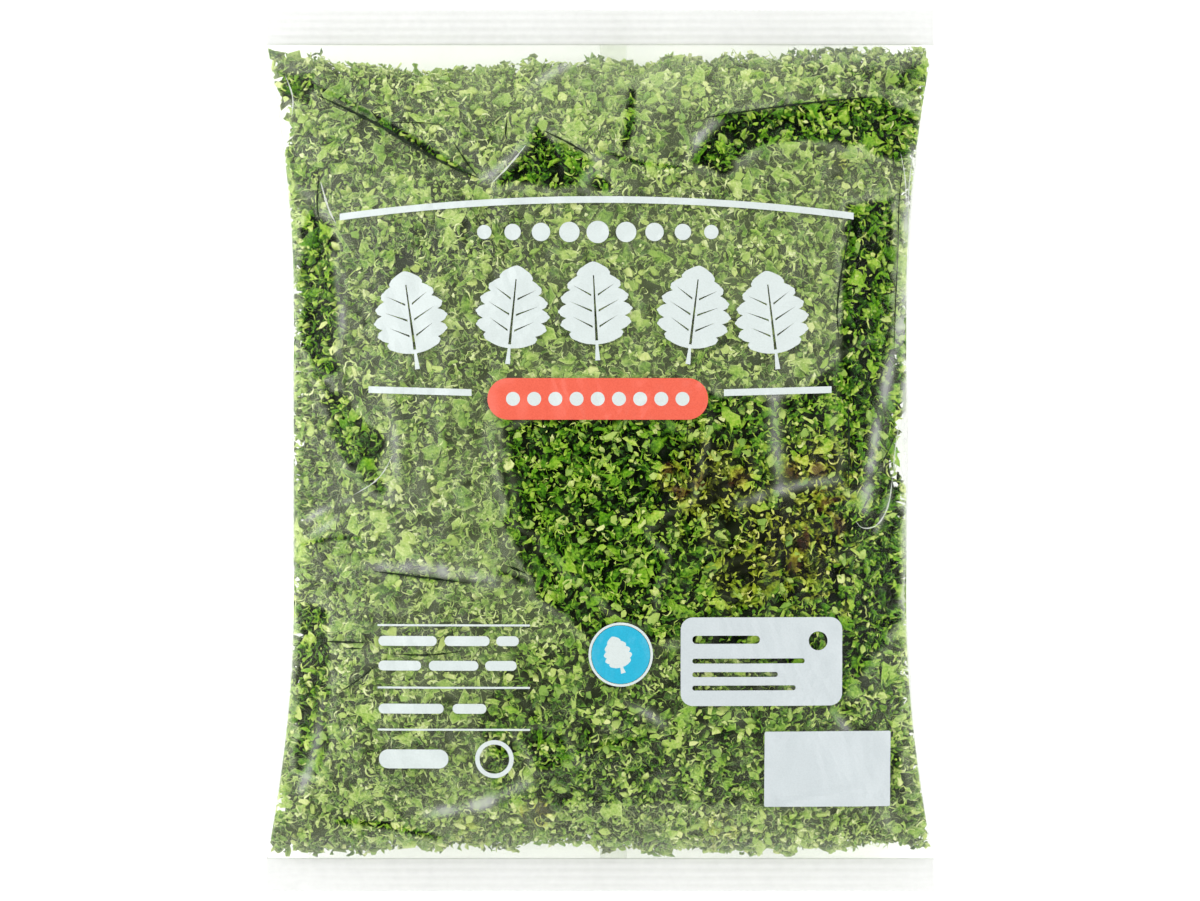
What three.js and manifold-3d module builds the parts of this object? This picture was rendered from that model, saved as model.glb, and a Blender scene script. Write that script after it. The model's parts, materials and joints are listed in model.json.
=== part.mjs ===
// A clear pillow bag of finely cut kale, lying on its back with its front up.
// Millimetres, +Z up, +X across the bag and +Y towards its top seal.
// The origin is on the surface that the bag lies on, under the middle of the bag.

import * as THREE from "three";
import { mergeVertices } from "three/addons/utils/BufferGeometryUtils.js";
import Module from "manifold-3d";

// Driving dimensions of the bag. The film tube keeps its flat width at the two end seals.
const FLAT_WIDTH = 300;
const BAG_LENGTH = 396.5;
// The filled middle is narrower than the flat tube, because the film goes up and over the kale.
const WAIST_WIDTH = 275;
const BAG_HEIGHT = 62;
const TOP_SEAL = 16;
const BOTTOM_SEAL = 15;
// Height of the two end seals and of the rounded side folds over the surface.
const SEAL_REST = 11;
const FOLD_REST = 25;

// Film and the fin seal down the back. One ply is drawn thicker than real film, 0.8 mm for 0.04 mm.
const PLY = 0.8;
const FIN_WIDTH = 12;
const FIN_THICKNESS = 0.9;
const FIN_SINK = 0.3;
const FIN_CHANNEL = { depth: 1.2, flat: 15, wide: 26 };
// Kale breathes, so its film is pierced. One such hole opens the inside, drawn at 1.6 mm.
const BREATHING_HOLE = { radius: 0.8, x: -52, y: 168 };

// How the bag fills out from each end seal: length of the rise, and of the shoulders' flare.
const RISE_LENGTH = 115;
const LIFT_LENGTH = 62;
const FLARE = { reach: 112, power: 1.8 };
// The patch that lies flat on the surface, with rounded corners: its length, the share of the
// width that it takes in the middle of the bag, and past its ends.
const FOOT = { length: 244, share: 0.52, past: 0.08 };

// Soft folds that run in from the four corners, as ridges in the front film.
const CORNER_FOLDS = [
  { from: [-140, 168], to: [-55, 122], height: -2.6, width: 10 },
  { from: [138, 170], to: [70, 112], height: 2.2, width: 12 },
  { from: [-138, -168], to: [-70, -105], height: 2.0, width: 12 },
  { from: [140, -166], to: [84, -96], height: -2.2, width: 11 },
  { from: [122, 62], to: [112, -24], height: 2.4, width: 9 },
  { from: [-122, 88], to: [-104, 34], height: -2.0, width: 9 },
];

// Faceting of the film: points over the front, places across the flat patch and across the bend
// from there to the side fold, and stations along the bag.
const FRONT_POINTS = 20;
const FLAT_PLACES = [0, 0.1, 0.2, 0.37, 0.69, 1];
const BEND_PLACES = [0.32, 0.58, 0.81, 0.95];
const STATIONS = 22;
const WELD_END = 1.5;

// The kale: its gap to the film, its distance from the seals, the packed core under it, and the
// cut pieces that stand out of the core, up to a small random distance under the film.
const KALE_GAP = 1.1;
const KALE_END = 5;
const HEART_WIDTH = 0.86;
const CORE = { points: 42, stations: 27 };
const CRUMB = { least: 2.5, most: 8.5, stray: 0.8 };
const COVER = 0.8;
const LEAF = { count: 70, radius: 16, corners: 6, thickness: 1, curl: 4, ruffle: 2.4, tilt: 0.12 };
const CHIP = { count: 22, radius: 3, length: 12, sides: 5, tilt: 0.25 };
const SEED = 8173;
// Steps round and along the heap that spread any number of pieces evenly over it.
const SPREAD = { round: 0.5698402910, along: 0.7548776662 };

const topLine = BAG_LENGTH / 2 - TOP_SEAL;
const bottomLine = -BAG_LENGTH / 2 + BOTTOM_SEAL;

const wasm = await Module();
wasm.setup();

// A number from 0 to 1 that goes smoothly from 0 at low to 1 at high.
function ease(value, low, high) {
  return THREE.MathUtils.smoothstep(value, low, high);
}

// Distance from the nearer seal line, 0 inside the seals.
function fromSeal(y) {
  return Math.max(0, Math.min(topLine - y, y - bottomLine));
}

// Half the bag's width at a place along it: widest at the seals, drawn in between them.
function halfWidth(y) {
  const share = Math.max(0, 1 - fromSeal(y) / FLARE.reach) ** FLARE.power;
  return THREE.MathUtils.lerp(WAIST_WIDTH, FLAT_WIDTH, share) / 2;
}

// How full the bag is at a place along it, from 0 at the seals to 1 in the middle.
function fullness(y) {
  const share = Math.min(1, fromSeal(y) / RISE_LENGTH);
  return (1 - (1 - share) ** 2) ** 0.72;
}

// Height of the side folds, and of the underside along the middle.
function foldHeight(y) {
  return SEAL_REST + (FOLD_REST - SEAL_REST) * fullness(y);
}

function undersideHeight(y) {
  const share = Math.min(1, fromSeal(y) / LIFT_LENGTH);
  return (SEAL_REST - PLY) * (1 - share) ** 2.2;
}

// Height of one fold in the front film at a point, as a round ridge along its line.
function foldRelief(x, y, fold) {
  const start = new THREE.Vector2(...fold.from);
  const run = new THREE.Vector2(...fold.to).sub(start);
  const point = new THREE.Vector2(x, y).sub(start);
  const along = THREE.MathUtils.clamp(point.dot(run) / run.lengthSq(), 0, 1);
  const off = point.distanceTo(run.multiplyScalar(along)) / fold.width;
  return fold.height * Math.exp(-off * off) * Math.sin(Math.PI * (0.15 + 0.7 * along));
}

function frontRelief(x, y) {
  const sum = CORNER_FOLDS.reduce((total, fold) => total + foldRelief(x, y, fold), 0);
  return sum * Math.min(1, fromSeal(y) / 12);
}

// The share of the width that lies flat at a place along the bag.
function flatShare(y) {
  const along = Math.min(1, Math.abs((2 * y) / FOOT.length));
  return THREE.MathUtils.lerp(FOOT.past, FOOT.share, Math.sqrt(1 - along ** 3));
}

// One point of the bag's surface. share is the place across, from -1 to 1, front or back,
// and inset is how far inside the outer surface the point lies.
function frontPoint(share, y, inset) {
  const x = (halfWidth(y) - inset) * share;
  const full = fullness(y);
  const rise = PLY + (BAG_HEIGHT - FOLD_REST - PLY) * full - inset;
  const power = 2.6 + 40 * (1 - full) ** 6;
  const dome = (1 - Math.abs(share) ** power) ** 0.55;
  const relief = frontRelief(x, y) * ease(1 - Math.abs(share), 0, 0.12);
  return new THREE.Vector3(x, y, foldHeight(y) + (rise + relief) * dome);
}

function backPoint(share, y, inset) {
  const x = (halfWidth(y) - inset) * share;
  const full = fullness(y);
  const drop = foldHeight(y) - undersideHeight(y) - inset;
  const edge = flatShare(y);
  const bend = Math.max(0, (Math.abs(share) - edge) / (1 - edge));
  const power = 2 + 40 * (1 - full) ** 6;
  const { depth, flat, wide } = FIN_CHANNEL;
  const lift = depth * ease(wide - Math.abs(x), 0, wide - flat) * Math.sqrt(full);
  return new THREE.Vector3(x, y, foldHeight(y) - drop * (1 - bend ** power) ** 0.6 + lift);
}

// The closed ring of points round the bag at one station, from the right fold over the front.
function ringAt(y, inset) {
  const ring = [];
  for (let i = 0; i < FRONT_POINTS; i += 1) {
    ring.push(frontPoint(Math.cos((Math.PI * i) / FRONT_POINTS), y, inset));
  }
  ring.push(frontPoint(-1, y, inset));
  const edge = flatShare(y);
  const shares = [
    ...FLAT_PLACES.map((place) => place * edge),
    ...BEND_PLACES.map((place) => THREE.MathUtils.lerp(edge, 1, place)),
  ];
  const across = [...shares.slice(1).map((share) => -share).reverse(), ...shares];
  across.forEach((share) => ring.push(backPoint(share, y, inset)));
  return ring;
}

// A manifold solid of a three.js geometry.
function solidOf(geometry) {
  const bare = new THREE.BufferGeometry();
  bare.setAttribute("position", geometry.getAttribute("position"));
  bare.setIndex(geometry.index);
  const merged = mergeVertices(bare, 1e-4);
  const made = new wasm.Mesh({
    numProp: 3,
    vertProperties: new Float32Array(merged.getAttribute("position").array),
    triVerts: new Uint32Array(merged.index.array),
  });
  return new wasm.Manifold(made);
}

// The largest body of a solid, with its sealed hollows filled and loose scraps dropped.
function largestBody(solid) {
  const bodies = solid.decompose();
  return bodies.reduce((best, body) => (body.volume() > best.volume() ? body : best));
}

function geometryOf(solid) {
  const mesh = solid.getMesh();
  const geometry = new THREE.BufferGeometry();
  geometry.setAttribute("position", new THREE.BufferAttribute(mesh.vertProperties, 3));
  geometry.setIndex(new THREE.BufferAttribute(mesh.triVerts, 1));
  return geometry;
}

// A closed solid through rings of points that all have the same count, with its two ends capped.
function loft(rings) {
  const count = rings[0].length;
  const positions = rings.flatMap((ring) => ring.flatMap((point) => point.toArray()));
  const triangles = [];
  for (let j = 0; j < rings.length - 1; j += 1) {
    for (let i = 0; i < count; i += 1) {
      const a = j * count + i;
      const b = j * count + ((i + 1) % count);
      triangles.push(a, a + count, b, b, a + count, b + count);
    }
  }
  const flat = (ring) => ring.map((point) => new THREE.Vector2(point.x, point.z));
  THREE.ShapeUtils.triangulateShape(flat(rings[0]), []).forEach(([a, b, c]) => {
    triangles.push(a, b, c);
  });
  const last = (rings.length - 1) * count;
  THREE.ShapeUtils.triangulateShape(flat(rings.at(-1)), []).forEach(([a, b, c]) => {
    triangles.push(last + a, last + c, last + b);
  });
  const geometry = new THREE.BufferGeometry();
  geometry.setAttribute("position", new THREE.Float32BufferAttribute(positions, 3));
  geometry.setIndex(triangles);
  return solidOf(geometry);
}

// Places along the bag, closer together near the seals, where it fills out fastest.
function stationsBetween(low, high, count) {
  const middle = (low + high) / 2;
  const half = (high - low) / 2;
  return Array.from({ length: count + 1 }, (_, i) => {
    const along = (2 * i) / count - 1;
    return middle + half * (0.45 * along + 0.55 * Math.sin((Math.PI * along) / 2));
  });
}

// The stations of the filled part of the bag, with one close to each seal, where the inside ends.
function filledStations() {
  const between = stationsBetween(bottomLine, topLine, STATIONS).slice(1, -1);
  return [bottomLine + WELD_END, ...between, topLine - WELD_END];
}

// The stations of the whole bag, from one cut edge to the other.
function allStations() {
  const half = BAG_LENGTH / 2;
  return [-half, bottomLine, ...filledStations(), topLine, half];
}

// The fin: the two edges of the film welded together and folded flat against the back.
function finSeal() {
  return loft(
    allStations().map((y) => {
      const edges = [FIN_WIDTH, 0].map((x) => backPoint(x / halfWidth(y), y, 0));
      const upper = edges.map((point) => point.clone().setZ(point.z + FIN_SINK));
      const lower = edges.map((point) => point.clone().setZ(point.z - FIN_THICKNESS));
      return [...upper, lower[1], lower[0]];
    }),
  );
}

function breathingHole() {
  const { radius, x, y } = BREATHING_HOLE;
  const through = new THREE.CylinderGeometry(radius, radius, 3 * PLY + 2, 8);
  through.rotateX(Math.PI / 2);
  const wall = frontPoint(x / halfWidth(y), y, PLY / 2);
  through.translate(wall.x, wall.y, wall.z);
  return solidOf(through);
}

// The film bag: one tube of film with a fin down its back, welded flat at both ends.
function filmBag() {
  const outside = loft(allStations().map((y) => ringAt(y, 0)));
  const inside = loft(filledStations().map((y) => ringAt(y, PLY)));
  return largestBody(outside.add(finSeal()).subtract(inside).subtract(breathingHole()));
}

// A repeatable stream of numbers from 0 to 1.
function seededRandom(seed) {
  let state = seed;
  return () => {
    state = (state + 0x6d2b79f5) | 0;
    let t = Math.imul(state ^ (state >>> 15), 1 | state);
    t = (t + Math.imul(t ^ (t >>> 7), 61 | t)) ^ t;
    return ((t ^ (t >>> 14)) >>> 0) / 4294967296;
  };
}

// The turn at a share of the way round the bag, halfway between equal turns and equal widths of
// film, so that points are spread well over the front and still follow the side folds.
function evenTurn(share) {
  const side = 4 * (share % 0.5) - 1;
  const byWidth = (share < 0.5 ? 0 : Math.PI) + Math.acos(-side);
  return 0.5 * byWidth + Math.PI * share;
}

// A point in the heap: a turn round the bag, from the right fold over the front, a place along
// the bag, and a depth under the film. However deep, it stays short of the middle of the heap.
function underFilm(turn, y, depth) {
  const surface = Math.sin(turn) >= 0 ? frontPoint : backPoint;
  const skin = surface(Math.cos(turn), y, PLY + KALE_GAP);
  const heart = new THREE.Vector3(HEART_WIDTH * skin.x, y, foldHeight(y) - 0.5 * PLY);
  const share = depth / skin.distanceTo(heart);
  return skin.lerp(heart, share / (1 + 1.2 * share));
}

// The packed core that the cut pieces stand out of. Its own surface is crumbs: each of its points
// has a depth of its own under the film, and a place of its own round its spot in the grid.
function packedCore(random) {
  const places = stationsBetween(bottomLine + KALE_END, topLine - KALE_END, CORE.stations);
  return loft(
    places.map((y, j) => {
      const spacing = places[Math.max(1, j)] - places[Math.max(1, j) - 1];
      const inward = j === 0 ? 1 : -Number(j === CORE.stations);
      return Array.from({ length: CORE.points }, (_, i) => {
        const turn = evenTurn(((i + CRUMB.stray * random()) / CORE.points) % 1);
        const edge = 0.9 * inward * random();
        const stray = inward === 0 ? CRUMB.stray * (random() - 0.5) : edge;
        const depth = THREE.MathUtils.lerp(CRUMB.least, CRUMB.most, random());
        return underFilm(turn, y + spacing * stray, depth);
      });
    }),
  );
}

// Lays a small geometry in the heap, its +Z towards the film: turned by chance, its highest point
// a little under the film, and its other points as deep as they are below that one.
function settle(geometry, place, tilt, random) {
  const spin = 2 * Math.PI * random();
  const lean = tilt * (2 * random() - 1);
  geometry.applyMatrix4(new THREE.Matrix4().makeRotationFromEuler(new THREE.Euler(lean, 0, spin)));
  geometry.computeBoundingBox();
  const highest = geometry.boundingBox.max.z + COVER * random();
  const step = 0.01;
  const before = underFilm(place.turn - step, place.y, highest);
  const across = underFilm(place.turn + step, place.y, highest).distanceTo(before) / (2 * step);
  const at = geometry.getAttribute("position");
  for (let i = 0; i < at.count; i += 1) {
    const turn = place.turn - at.getX(i) / across;
    const reach = THREE.MathUtils.clamp(
      place.y + at.getY(i),
      bottomLine + KALE_END,
      topLine - KALE_END,
    );
    const point = underFilm(turn, reach, highest - at.getZ(i));
    at.setXYZ(i, point.x, point.y, point.z);
  }
  return solidOf(geometry);
}

// One cut piece of leaf: a ragged flake with a ruffled edge, waved alike on both faces.
function leafPiece(place, random) {
  const size = LEAF.radius * (0.75 + 0.5 * random());
  const start = 2 * Math.PI * random();
  const flake = new THREE.CylinderGeometry(size, size, LEAF.thickness, LEAF.corners);
  flake.rotateX(Math.PI / 2);
  const reaches = Array.from({ length: LEAF.corners }, () => 0.7 + 0.5 * random());
  const at = flake.getAttribute("position");
  for (let i = 0; i < at.count; i += 1) {
    const angle = Math.atan2(at.getY(i), at.getX(i));
    const out = Math.hypot(at.getX(i), at.getY(i)) / size;
    const corner = Math.round((angle / (2 * Math.PI)) * LEAF.corners + LEAF.corners);
    const reach = reaches[corner % LEAF.corners];
    const wave = LEAF.curl * out * out + LEAF.ruffle * out * Math.sin(2 * angle + start);
    at.setXYZ(i, at.getX(i) * reach, 0.8 * at.getY(i) * reach, at.getZ(i) + wave);
  }
  return settle(flake, place, LEAF.tilt, random);
}

// One cut piece of stem: a short stub of the pale midrib, lying down.
function stemChip(place, random) {
  const radius = CHIP.radius * (0.8 + 0.4 * random());
  const length = CHIP.length * (0.7 + 0.6 * random());
  const stub = new THREE.CylinderGeometry(radius, 0.85 * radius, length, CHIP.sides);
  return settle(stub, place, CHIP.tilt, random);
}

// Places spread evenly over the heap.
function spreadPlaces(count, start) {
  const low = bottomLine + 2 * KALE_END;
  const high = topLine - 2 * KALE_END;
  return Array.from({ length: count }, (_, i) => ({
    turn: evenTurn((start + SPREAD.round * i) % 1),
    y: THREE.MathUtils.lerp(low, high, (start + SPREAD.along * i) % 1),
  }));
}

// The heap of cut kale, leaf pieces and stem chips fused on their packed core.
function cutKale() {
  const random = seededRandom(SEED);
  const leaves = spreadPlaces(LEAF.count, 0.5).map((place) => leafPiece(place, random));
  const chips = spreadPlaces(CHIP.count, 0.31).map((place) => stemChip(place, random));
  return largestBody(wasm.Manifold.union([packedCore(random), ...leaves, ...chips]));
}

function nodeOf(name, solid, look) {
  const mesh = new THREE.Mesh(geometryOf(solid), new THREE.MeshStandardMaterial(look));
  mesh.name = name;
  return mesh;
}

const bag = new THREE.Group();
bag.add(
  nodeOf("film_bag", filmBag(), {
    color: 0xe9eeec,
    roughness: 0.12,
    metalness: 0,
    transparent: true,
    opacity: 0.3,
  }),
);
bag.add(nodeOf("cut_kale", cutKale(), { color: 0x4f8428, roughness: 0.5, metalness: 0 }));

export default bag;
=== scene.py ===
"""Looks of a clear pillow bag of finely cut kale, lying on its back.

The bag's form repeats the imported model's own rules, in millimetres, with the origin on the surface
under the middle of the bag, +X across it and +Y towards its top seal. Meshes are made in metres.
"""

import json
import logging
import math
from collections.abc import Callable, Sequence
from dataclasses import dataclass, field
from enum import Enum

import bpy
import numpy as np
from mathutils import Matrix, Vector
from mathutils.geometry import delaunay_2d_cdt

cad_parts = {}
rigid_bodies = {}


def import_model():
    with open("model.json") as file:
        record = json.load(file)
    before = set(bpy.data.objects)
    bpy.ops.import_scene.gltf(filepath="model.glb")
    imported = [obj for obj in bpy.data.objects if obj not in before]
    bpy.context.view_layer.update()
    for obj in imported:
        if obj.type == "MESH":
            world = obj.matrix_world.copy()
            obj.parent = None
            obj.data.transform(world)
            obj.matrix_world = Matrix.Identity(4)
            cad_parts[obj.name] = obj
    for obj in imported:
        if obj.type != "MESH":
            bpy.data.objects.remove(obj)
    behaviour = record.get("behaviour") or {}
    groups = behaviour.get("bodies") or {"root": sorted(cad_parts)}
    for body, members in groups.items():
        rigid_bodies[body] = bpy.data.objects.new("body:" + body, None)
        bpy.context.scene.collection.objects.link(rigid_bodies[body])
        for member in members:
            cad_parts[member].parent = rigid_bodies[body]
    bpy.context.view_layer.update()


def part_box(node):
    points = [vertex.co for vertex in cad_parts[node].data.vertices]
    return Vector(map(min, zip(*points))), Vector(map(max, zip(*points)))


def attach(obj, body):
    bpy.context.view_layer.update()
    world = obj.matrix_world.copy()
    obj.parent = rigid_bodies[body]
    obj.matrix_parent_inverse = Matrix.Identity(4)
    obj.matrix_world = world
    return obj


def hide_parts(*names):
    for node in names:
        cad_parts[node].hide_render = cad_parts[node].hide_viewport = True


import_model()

log = logging.getLogger("kale_bag")

MM = 0.001
Array = np.ndarray
Outline = Sequence[tuple[float, float]]
Solid = tuple[list, list, list]
Piece = bpy.types.Object
Material = bpy.types.Material
Tree = bpy.types.NodeTree
Socket = bpy.types.NodeSocket


def ease(value: Array | float, low: float, high: float) -> Array:
    """Goes smoothly from 0 where value is low or less to 1 where it is high or more."""
    share = np.clip((np.asarray(value, float) - low) / (high - low), 0.0, 1.0)
    return share * share * (3.0 - 2.0 * share)


def mix(low: Array | float, high: Array | float, share: Array | float) -> Array | float:
    """Returns the value at a share of the way from low to high."""
    return low + (high - low) * share


# Form of the bag


@dataclass(frozen=True)
class Ridge:
    """A fold in the front film: a round ridge, or a valley where its height is below zero."""

    start: tuple[float, float]
    end: tuple[float, float]
    height: float
    width: float
    bow: float = 0.0
    rise: float = 0.15

    def relief(self, x: Array, y: Array) -> Array:
        """Height of the ridge at each point.

        Args:
            x: Places across the bag, in mm.
            y: Places along the bag, in mm.

        Returns:
            The height to add to the film, in mm.
        """
        run = np.subtract(self.end, self.start)
        length = float(np.hypot(*run))
        along = ((x - self.start[0]) * run[0] + (y - self.start[1]) * run[1]) / length**2
        inside = np.clip(along, 0.0, 1.0)
        bent = self.bow * np.sin(np.pi * inside)
        side = np.array([-run[1], run[0]]) / length
        off = np.hypot(
            x - self.start[0] - run[0] * inside - side[0] * bent,
            y - self.start[1] - run[1] * inside - side[1] * bent,
        )
        swell = np.sin(np.pi * (self.rise + (1.0 - 2.0 * self.rise) * inside))
        return self.height * np.exp(-((off / self.width) ** 2)) * swell


def ridges(*rows: tuple) -> tuple[Ridge, ...]:
    """Makes folds from rows of start, end, height, width and, where they have them, bow and rise."""
    return tuple(Ridge(*row) for row in rows)


# Large folds that run from the bag's corners and along its sides.
CORNER_FOLDS = ridges(
    ((-140, 168), (-55, 122), -2.6, 10), ((138, 170), (70, 112), 2.2, 12),
    ((-138, -168), (-70, -105), 2.0, 12), ((140, -166), (84, -96), -2.2, 11),
    ((122, 62), (112, -24), 2.4, 9), ((-122, 88), (-104, 34), -2.0, 9),
)


@dataclass(frozen=True)
class BagForm:
    """The rules of the bag's outer surface, front and back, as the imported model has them."""

    flat_width: float
    length: float
    waist_width: float = 275.0
    height: float = 62.0
    top_seal: float = 16.0
    bottom_seal: float = 15.0
    seal_rest: float = 11.0
    fold_rest: float = 25.0
    ply: float = 0.15
    rise_length: float = 115.0
    lift_length: float = 62.0
    flare_reach: float = 112.0
    flare_power: float = 1.8
    foot_length: float = 244.0
    foot_share: float = 0.52
    foot_past: float = 0.08
    swell: float = 0.72
    front_power: float = 2.6
    front_round: float = 0.55
    back_power: float = 2.0
    back_round: float = 0.6
    lift_power: float = 2.2
    square_end: float = 40.0
    square_fade: int = 6
    channel_depth: float = 1.2
    channel_flat: float = 15.0
    channel_wide: float = 26.0

    @property
    def top_line(self) -> float:
        """Place along the bag where the top seal starts."""
        return self.length / 2.0 - self.top_seal

    @property
    def bottom_line(self) -> float:
        """Place along the bag where the bottom seal starts."""
        return -self.length / 2.0 + self.bottom_seal

    def from_seal(self, y: Array) -> Array:
        """Distance from the nearer seal line, 0 inside the seals."""
        return np.maximum(0.0, np.minimum(self.top_line - y, y - self.bottom_line))

    def half_width(self, y: Array) -> Array:
        """Half the bag's width: widest at the seals, drawn in between them."""
        share = np.maximum(0.0, 1.0 - self.from_seal(y) / self.flare_reach)
        return mix(self.waist_width, self.flat_width, share**self.flare_power) / 2.0

    def fullness(self, y: Array) -> Array:
        """How full the bag is, from 0 at the seals to 1 in the middle."""
        share = np.minimum(1.0, self.from_seal(y) / self.rise_length)
        return (1.0 - (1.0 - share) ** 2) ** self.swell

    def fold_height(self, y: Array) -> Array:
        """Height of the rounded side folds over the surface."""
        return mix(self.seal_rest, self.fold_rest, self.fullness(y))

    def front(self, share: Array, y: Array, inset: float = 0.0) -> tuple[Array, Array]:
        """Smooth front of the bag, before its folds.

        Args:
            share: Places across, from -1 at the left side fold to 1 at the right one.
            y: Places along the bag, in mm.
            inset: How far inside the outer surface the points lie, in mm.

        Returns:
            x and z of each point, in mm.
        """
        full = self.fullness(y)
        rise = self.ply + (self.height - self.fold_rest - self.ply) * full - inset
        power = self.front_power + self.square_end * (1.0 - full) ** self.square_fade
        dome = np.maximum(0.0, 1.0 - np.abs(share) ** power) ** self.front_round
        return (self.half_width(y) - inset) * share, self.fold_height(y) + rise * dome

    def back(self, share: Array, y: Array, inset: float = 0.0) -> tuple[Array, Array]:
        """Back of the bag, flat where it lies on the surface, with a channel for the fin seal.

        Args:
            share: Places across, from -1 at the left side fold to 1 at the right one.
            y: Places along the bag, in mm.
            inset: How far inside the outer surface the points lie, in mm.

        Returns:
            x and z of each point, in mm.
        """
        full = self.fullness(y)
        lifted = 1.0 - np.minimum(1.0, self.from_seal(y) / self.lift_length)
        under = (self.seal_rest - self.ply) * lifted**self.lift_power
        along = np.minimum(1.0, np.abs(2.0 * y / self.foot_length))
        edge = mix(self.foot_past, self.foot_share, np.sqrt(1.0 - along**3))
        bend = np.clip((np.abs(share) - edge) / (1.0 - edge), 0.0, 1.0)
        power = self.back_power + self.square_end * (1.0 - full) ** self.square_fade
        x = (self.half_width(y) - inset) * share
        channel = ease(self.channel_wide - np.abs(x), 0.0, self.channel_wide - self.channel_flat)
        drop = (self.fold_height(y) - under - inset) * (1.0 - bend**power) ** self.back_round
        return x, self.fold_height(y) - drop + self.channel_depth * channel * np.sqrt(full)


@dataclass(frozen=True)
class WaveField:
    """Soft random relief: a sum of plane waves that are bent by a slower set of waves."""

    shortest: float
    longest: float
    height: float
    seed: int
    waves: int = 14
    crisp: float = 0.0
    blunt: float = 0.03
    bent: float = 5.0

    def __call__(self, x: Array, y: Array) -> Array:
        """Relief at each point, in the unit of height.

        Args:
            x: Places across the bag, in mm.
            y: Places along the bag, in mm.

        Returns:
            Values of about minus to plus the height.
        """
        random = np.random.default_rng(self.seed)
        turns = random.uniform(0.0, 2.0 * np.pi, (4, self.waves))
        lengths = random.uniform(self.shortest, self.longest, self.waves)
        slow = 3.1 * self.longest
        bend_x = self.bent * np.sin(2 * np.pi * (x + 0.7 * y) / slow + turns[2, 0])
        bend_y = self.bent * np.sin(2 * np.pi * (y - 0.6 * x) / slow + turns[2, 1])
        total = np.zeros(np.broadcast(x, y).shape)
        for turn, phase, length in zip(turns[0], turns[1], lengths):
            reach = (x + bend_x) * math.cos(turn) + (y + bend_y) * math.sin(turn)
            wave = np.sin(2.0 * np.pi * reach / length + phase)
            total += mix(wave, 1.0 - 2.0 * (wave * wave + self.blunt) ** 0.25, self.crisp)
        return self.height * total / math.sqrt(self.waves)


# Creases that the packing leaves in the film, by place in the front, each start to end.
CREASES = ridges(
    ((-122, 162), (-52, 121), 1.3, 1.9, 3.0), ((-60, 158), (-46, 119), 0.9, 1.6, -2.0),
    ((-28, 147), (-46, 118), 1.3, 1.7, 1.5), ((-28, 147), (4, 118), 1.2, 1.9, -2.0),
    ((40, 128), (56, 151), 1.2, 1.7, 2.0), ((56, 151), (138, 160), 1.3, 2.2, -3.0),
    ((74, 134), (140, 143), 1.0, 2.0, 3.0), ((118, 118), (113, 20), 1.5, 1.9, -4.0),
    ((133, 104), (129, 8), 1.6, 2.2, 2.0), ((127, 96), (124, -34), 1.1, 1.4, -2.0),
    ((113, 8), (121, -34), 0.9, 1.7, 3.0), ((-126, 104), (-119, 24), 1.1, 1.8, 3.0),
    ((-127, 62), (-96, 45), 0.9, 1.6, 2.0), ((-118, 66), (-98, -24), 0.9, 1.9, -5.0),
    ((-130, -36), (-72, -49), 1.1, 1.9, -4.0), ((-72, -49), (-26, -52), 0.9, 1.8, 2.0),
    ((-136, -58), (-96, -66), 0.9, 1.8, 3.0), ((-46, 10), (-36, -40), 0.9, 1.9, -3.0),
    ((46, 8), (18, -38), 1.1, 1.9, 4.0), ((18, -38), (30, -76), 0.8, 1.8, 3.0),
    ((82, -10), (72, -62), 0.8, 2.1, -3.0), ((-134, -74), (-124, -150), 1.2, 1.9, -2.0),
    ((-112, -86), (-82, -160), 0.8, 2.2, 3.0), ((-58, -140), (-4, -132), 0.9, 1.8, 3.0),
    ((10, -118), (58, -150), 0.8, 1.9, -3.0), ((128, -60), (134, -150), 1.1, 1.9, 2.0),
    ((60, -166), (122, -150), 0.9, 1.9, 2.0),
)

# Places where the film clings to the wet kale and shows it clear, and how strongly it does.
CLINGS: tuple[tuple[Outline, float], ...] = (
    (((-28, 145), (-36, 135), (-46, 118), (-18, 116), (5, 117), (0, 128), (-18, 137)), 1.0),
    (
        (
            (40, 135), (53, 149), (75, 153), (100, 158.5), (126, 157), (144, 150), (144, 137),
            (134, 130), (120, 134), (100, 138), (72, 136), (56, 124), (41, 126),
        ),
        1.0,
    ),
    (((-133, 107), (-119, 101), (-115, 68), (-117, 35), (-127, 31), (-135, 54)), 0.9),
    (((-127, 35), (-98, 9), (-95, -22), (-111, -9), (-121, 9)), 0.85),
    (
        (
            (-41, 9), (-18, 17), (22, 12), (46, 5), (40, -22), (18, -35), (28, -49),
            (24, -67), (18, -77), (0, -67), (-18, -49), (-36, -31),
        ),
        1.0,
    ),
    (((110, 110), (131, 113), (131, 68), (129, 23), (123, -13), (112, -22), (105, 5), (107, 54)), 1.0),
    (((-135, -67), (-122, -71), (-120, -112), (-125, -148), (-136, -143)), 0.8),
    (((-38, -125), (-18, -124), (-11, -139), (-27, -143)), 0.9),
    (((-144, 170), (-127, 169), (-129, 156), (-142, 156)), 0.8),
    (((-5, -63), (18, -62), (20, -85), (0, -85)), 0.7),
    (((104, 170), (128, 167), (134, 170), (140, 174), (148, 176), (147, 160), (136, 162)), 0.75),
    (((-139, 132), (-125, 127), (-121, 109), (-134, 106)), 0.4),
    (((-56, -114), (-30, -112), (-22, -128), (-52, -124)), 0.7),
    (
        (
            (-43, 23), (45, 25), (85, 23), (112, 45), (136, 54), (134, -76),
            (107, -112), (45, -85), (0, -85), (-27, -67), (-43, -31),
        ),
        0.93,
    ),
    (((-36, -85), (134, -85), (137, -158), (-46, -158), (-54, -121)), 0.62),
)

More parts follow.
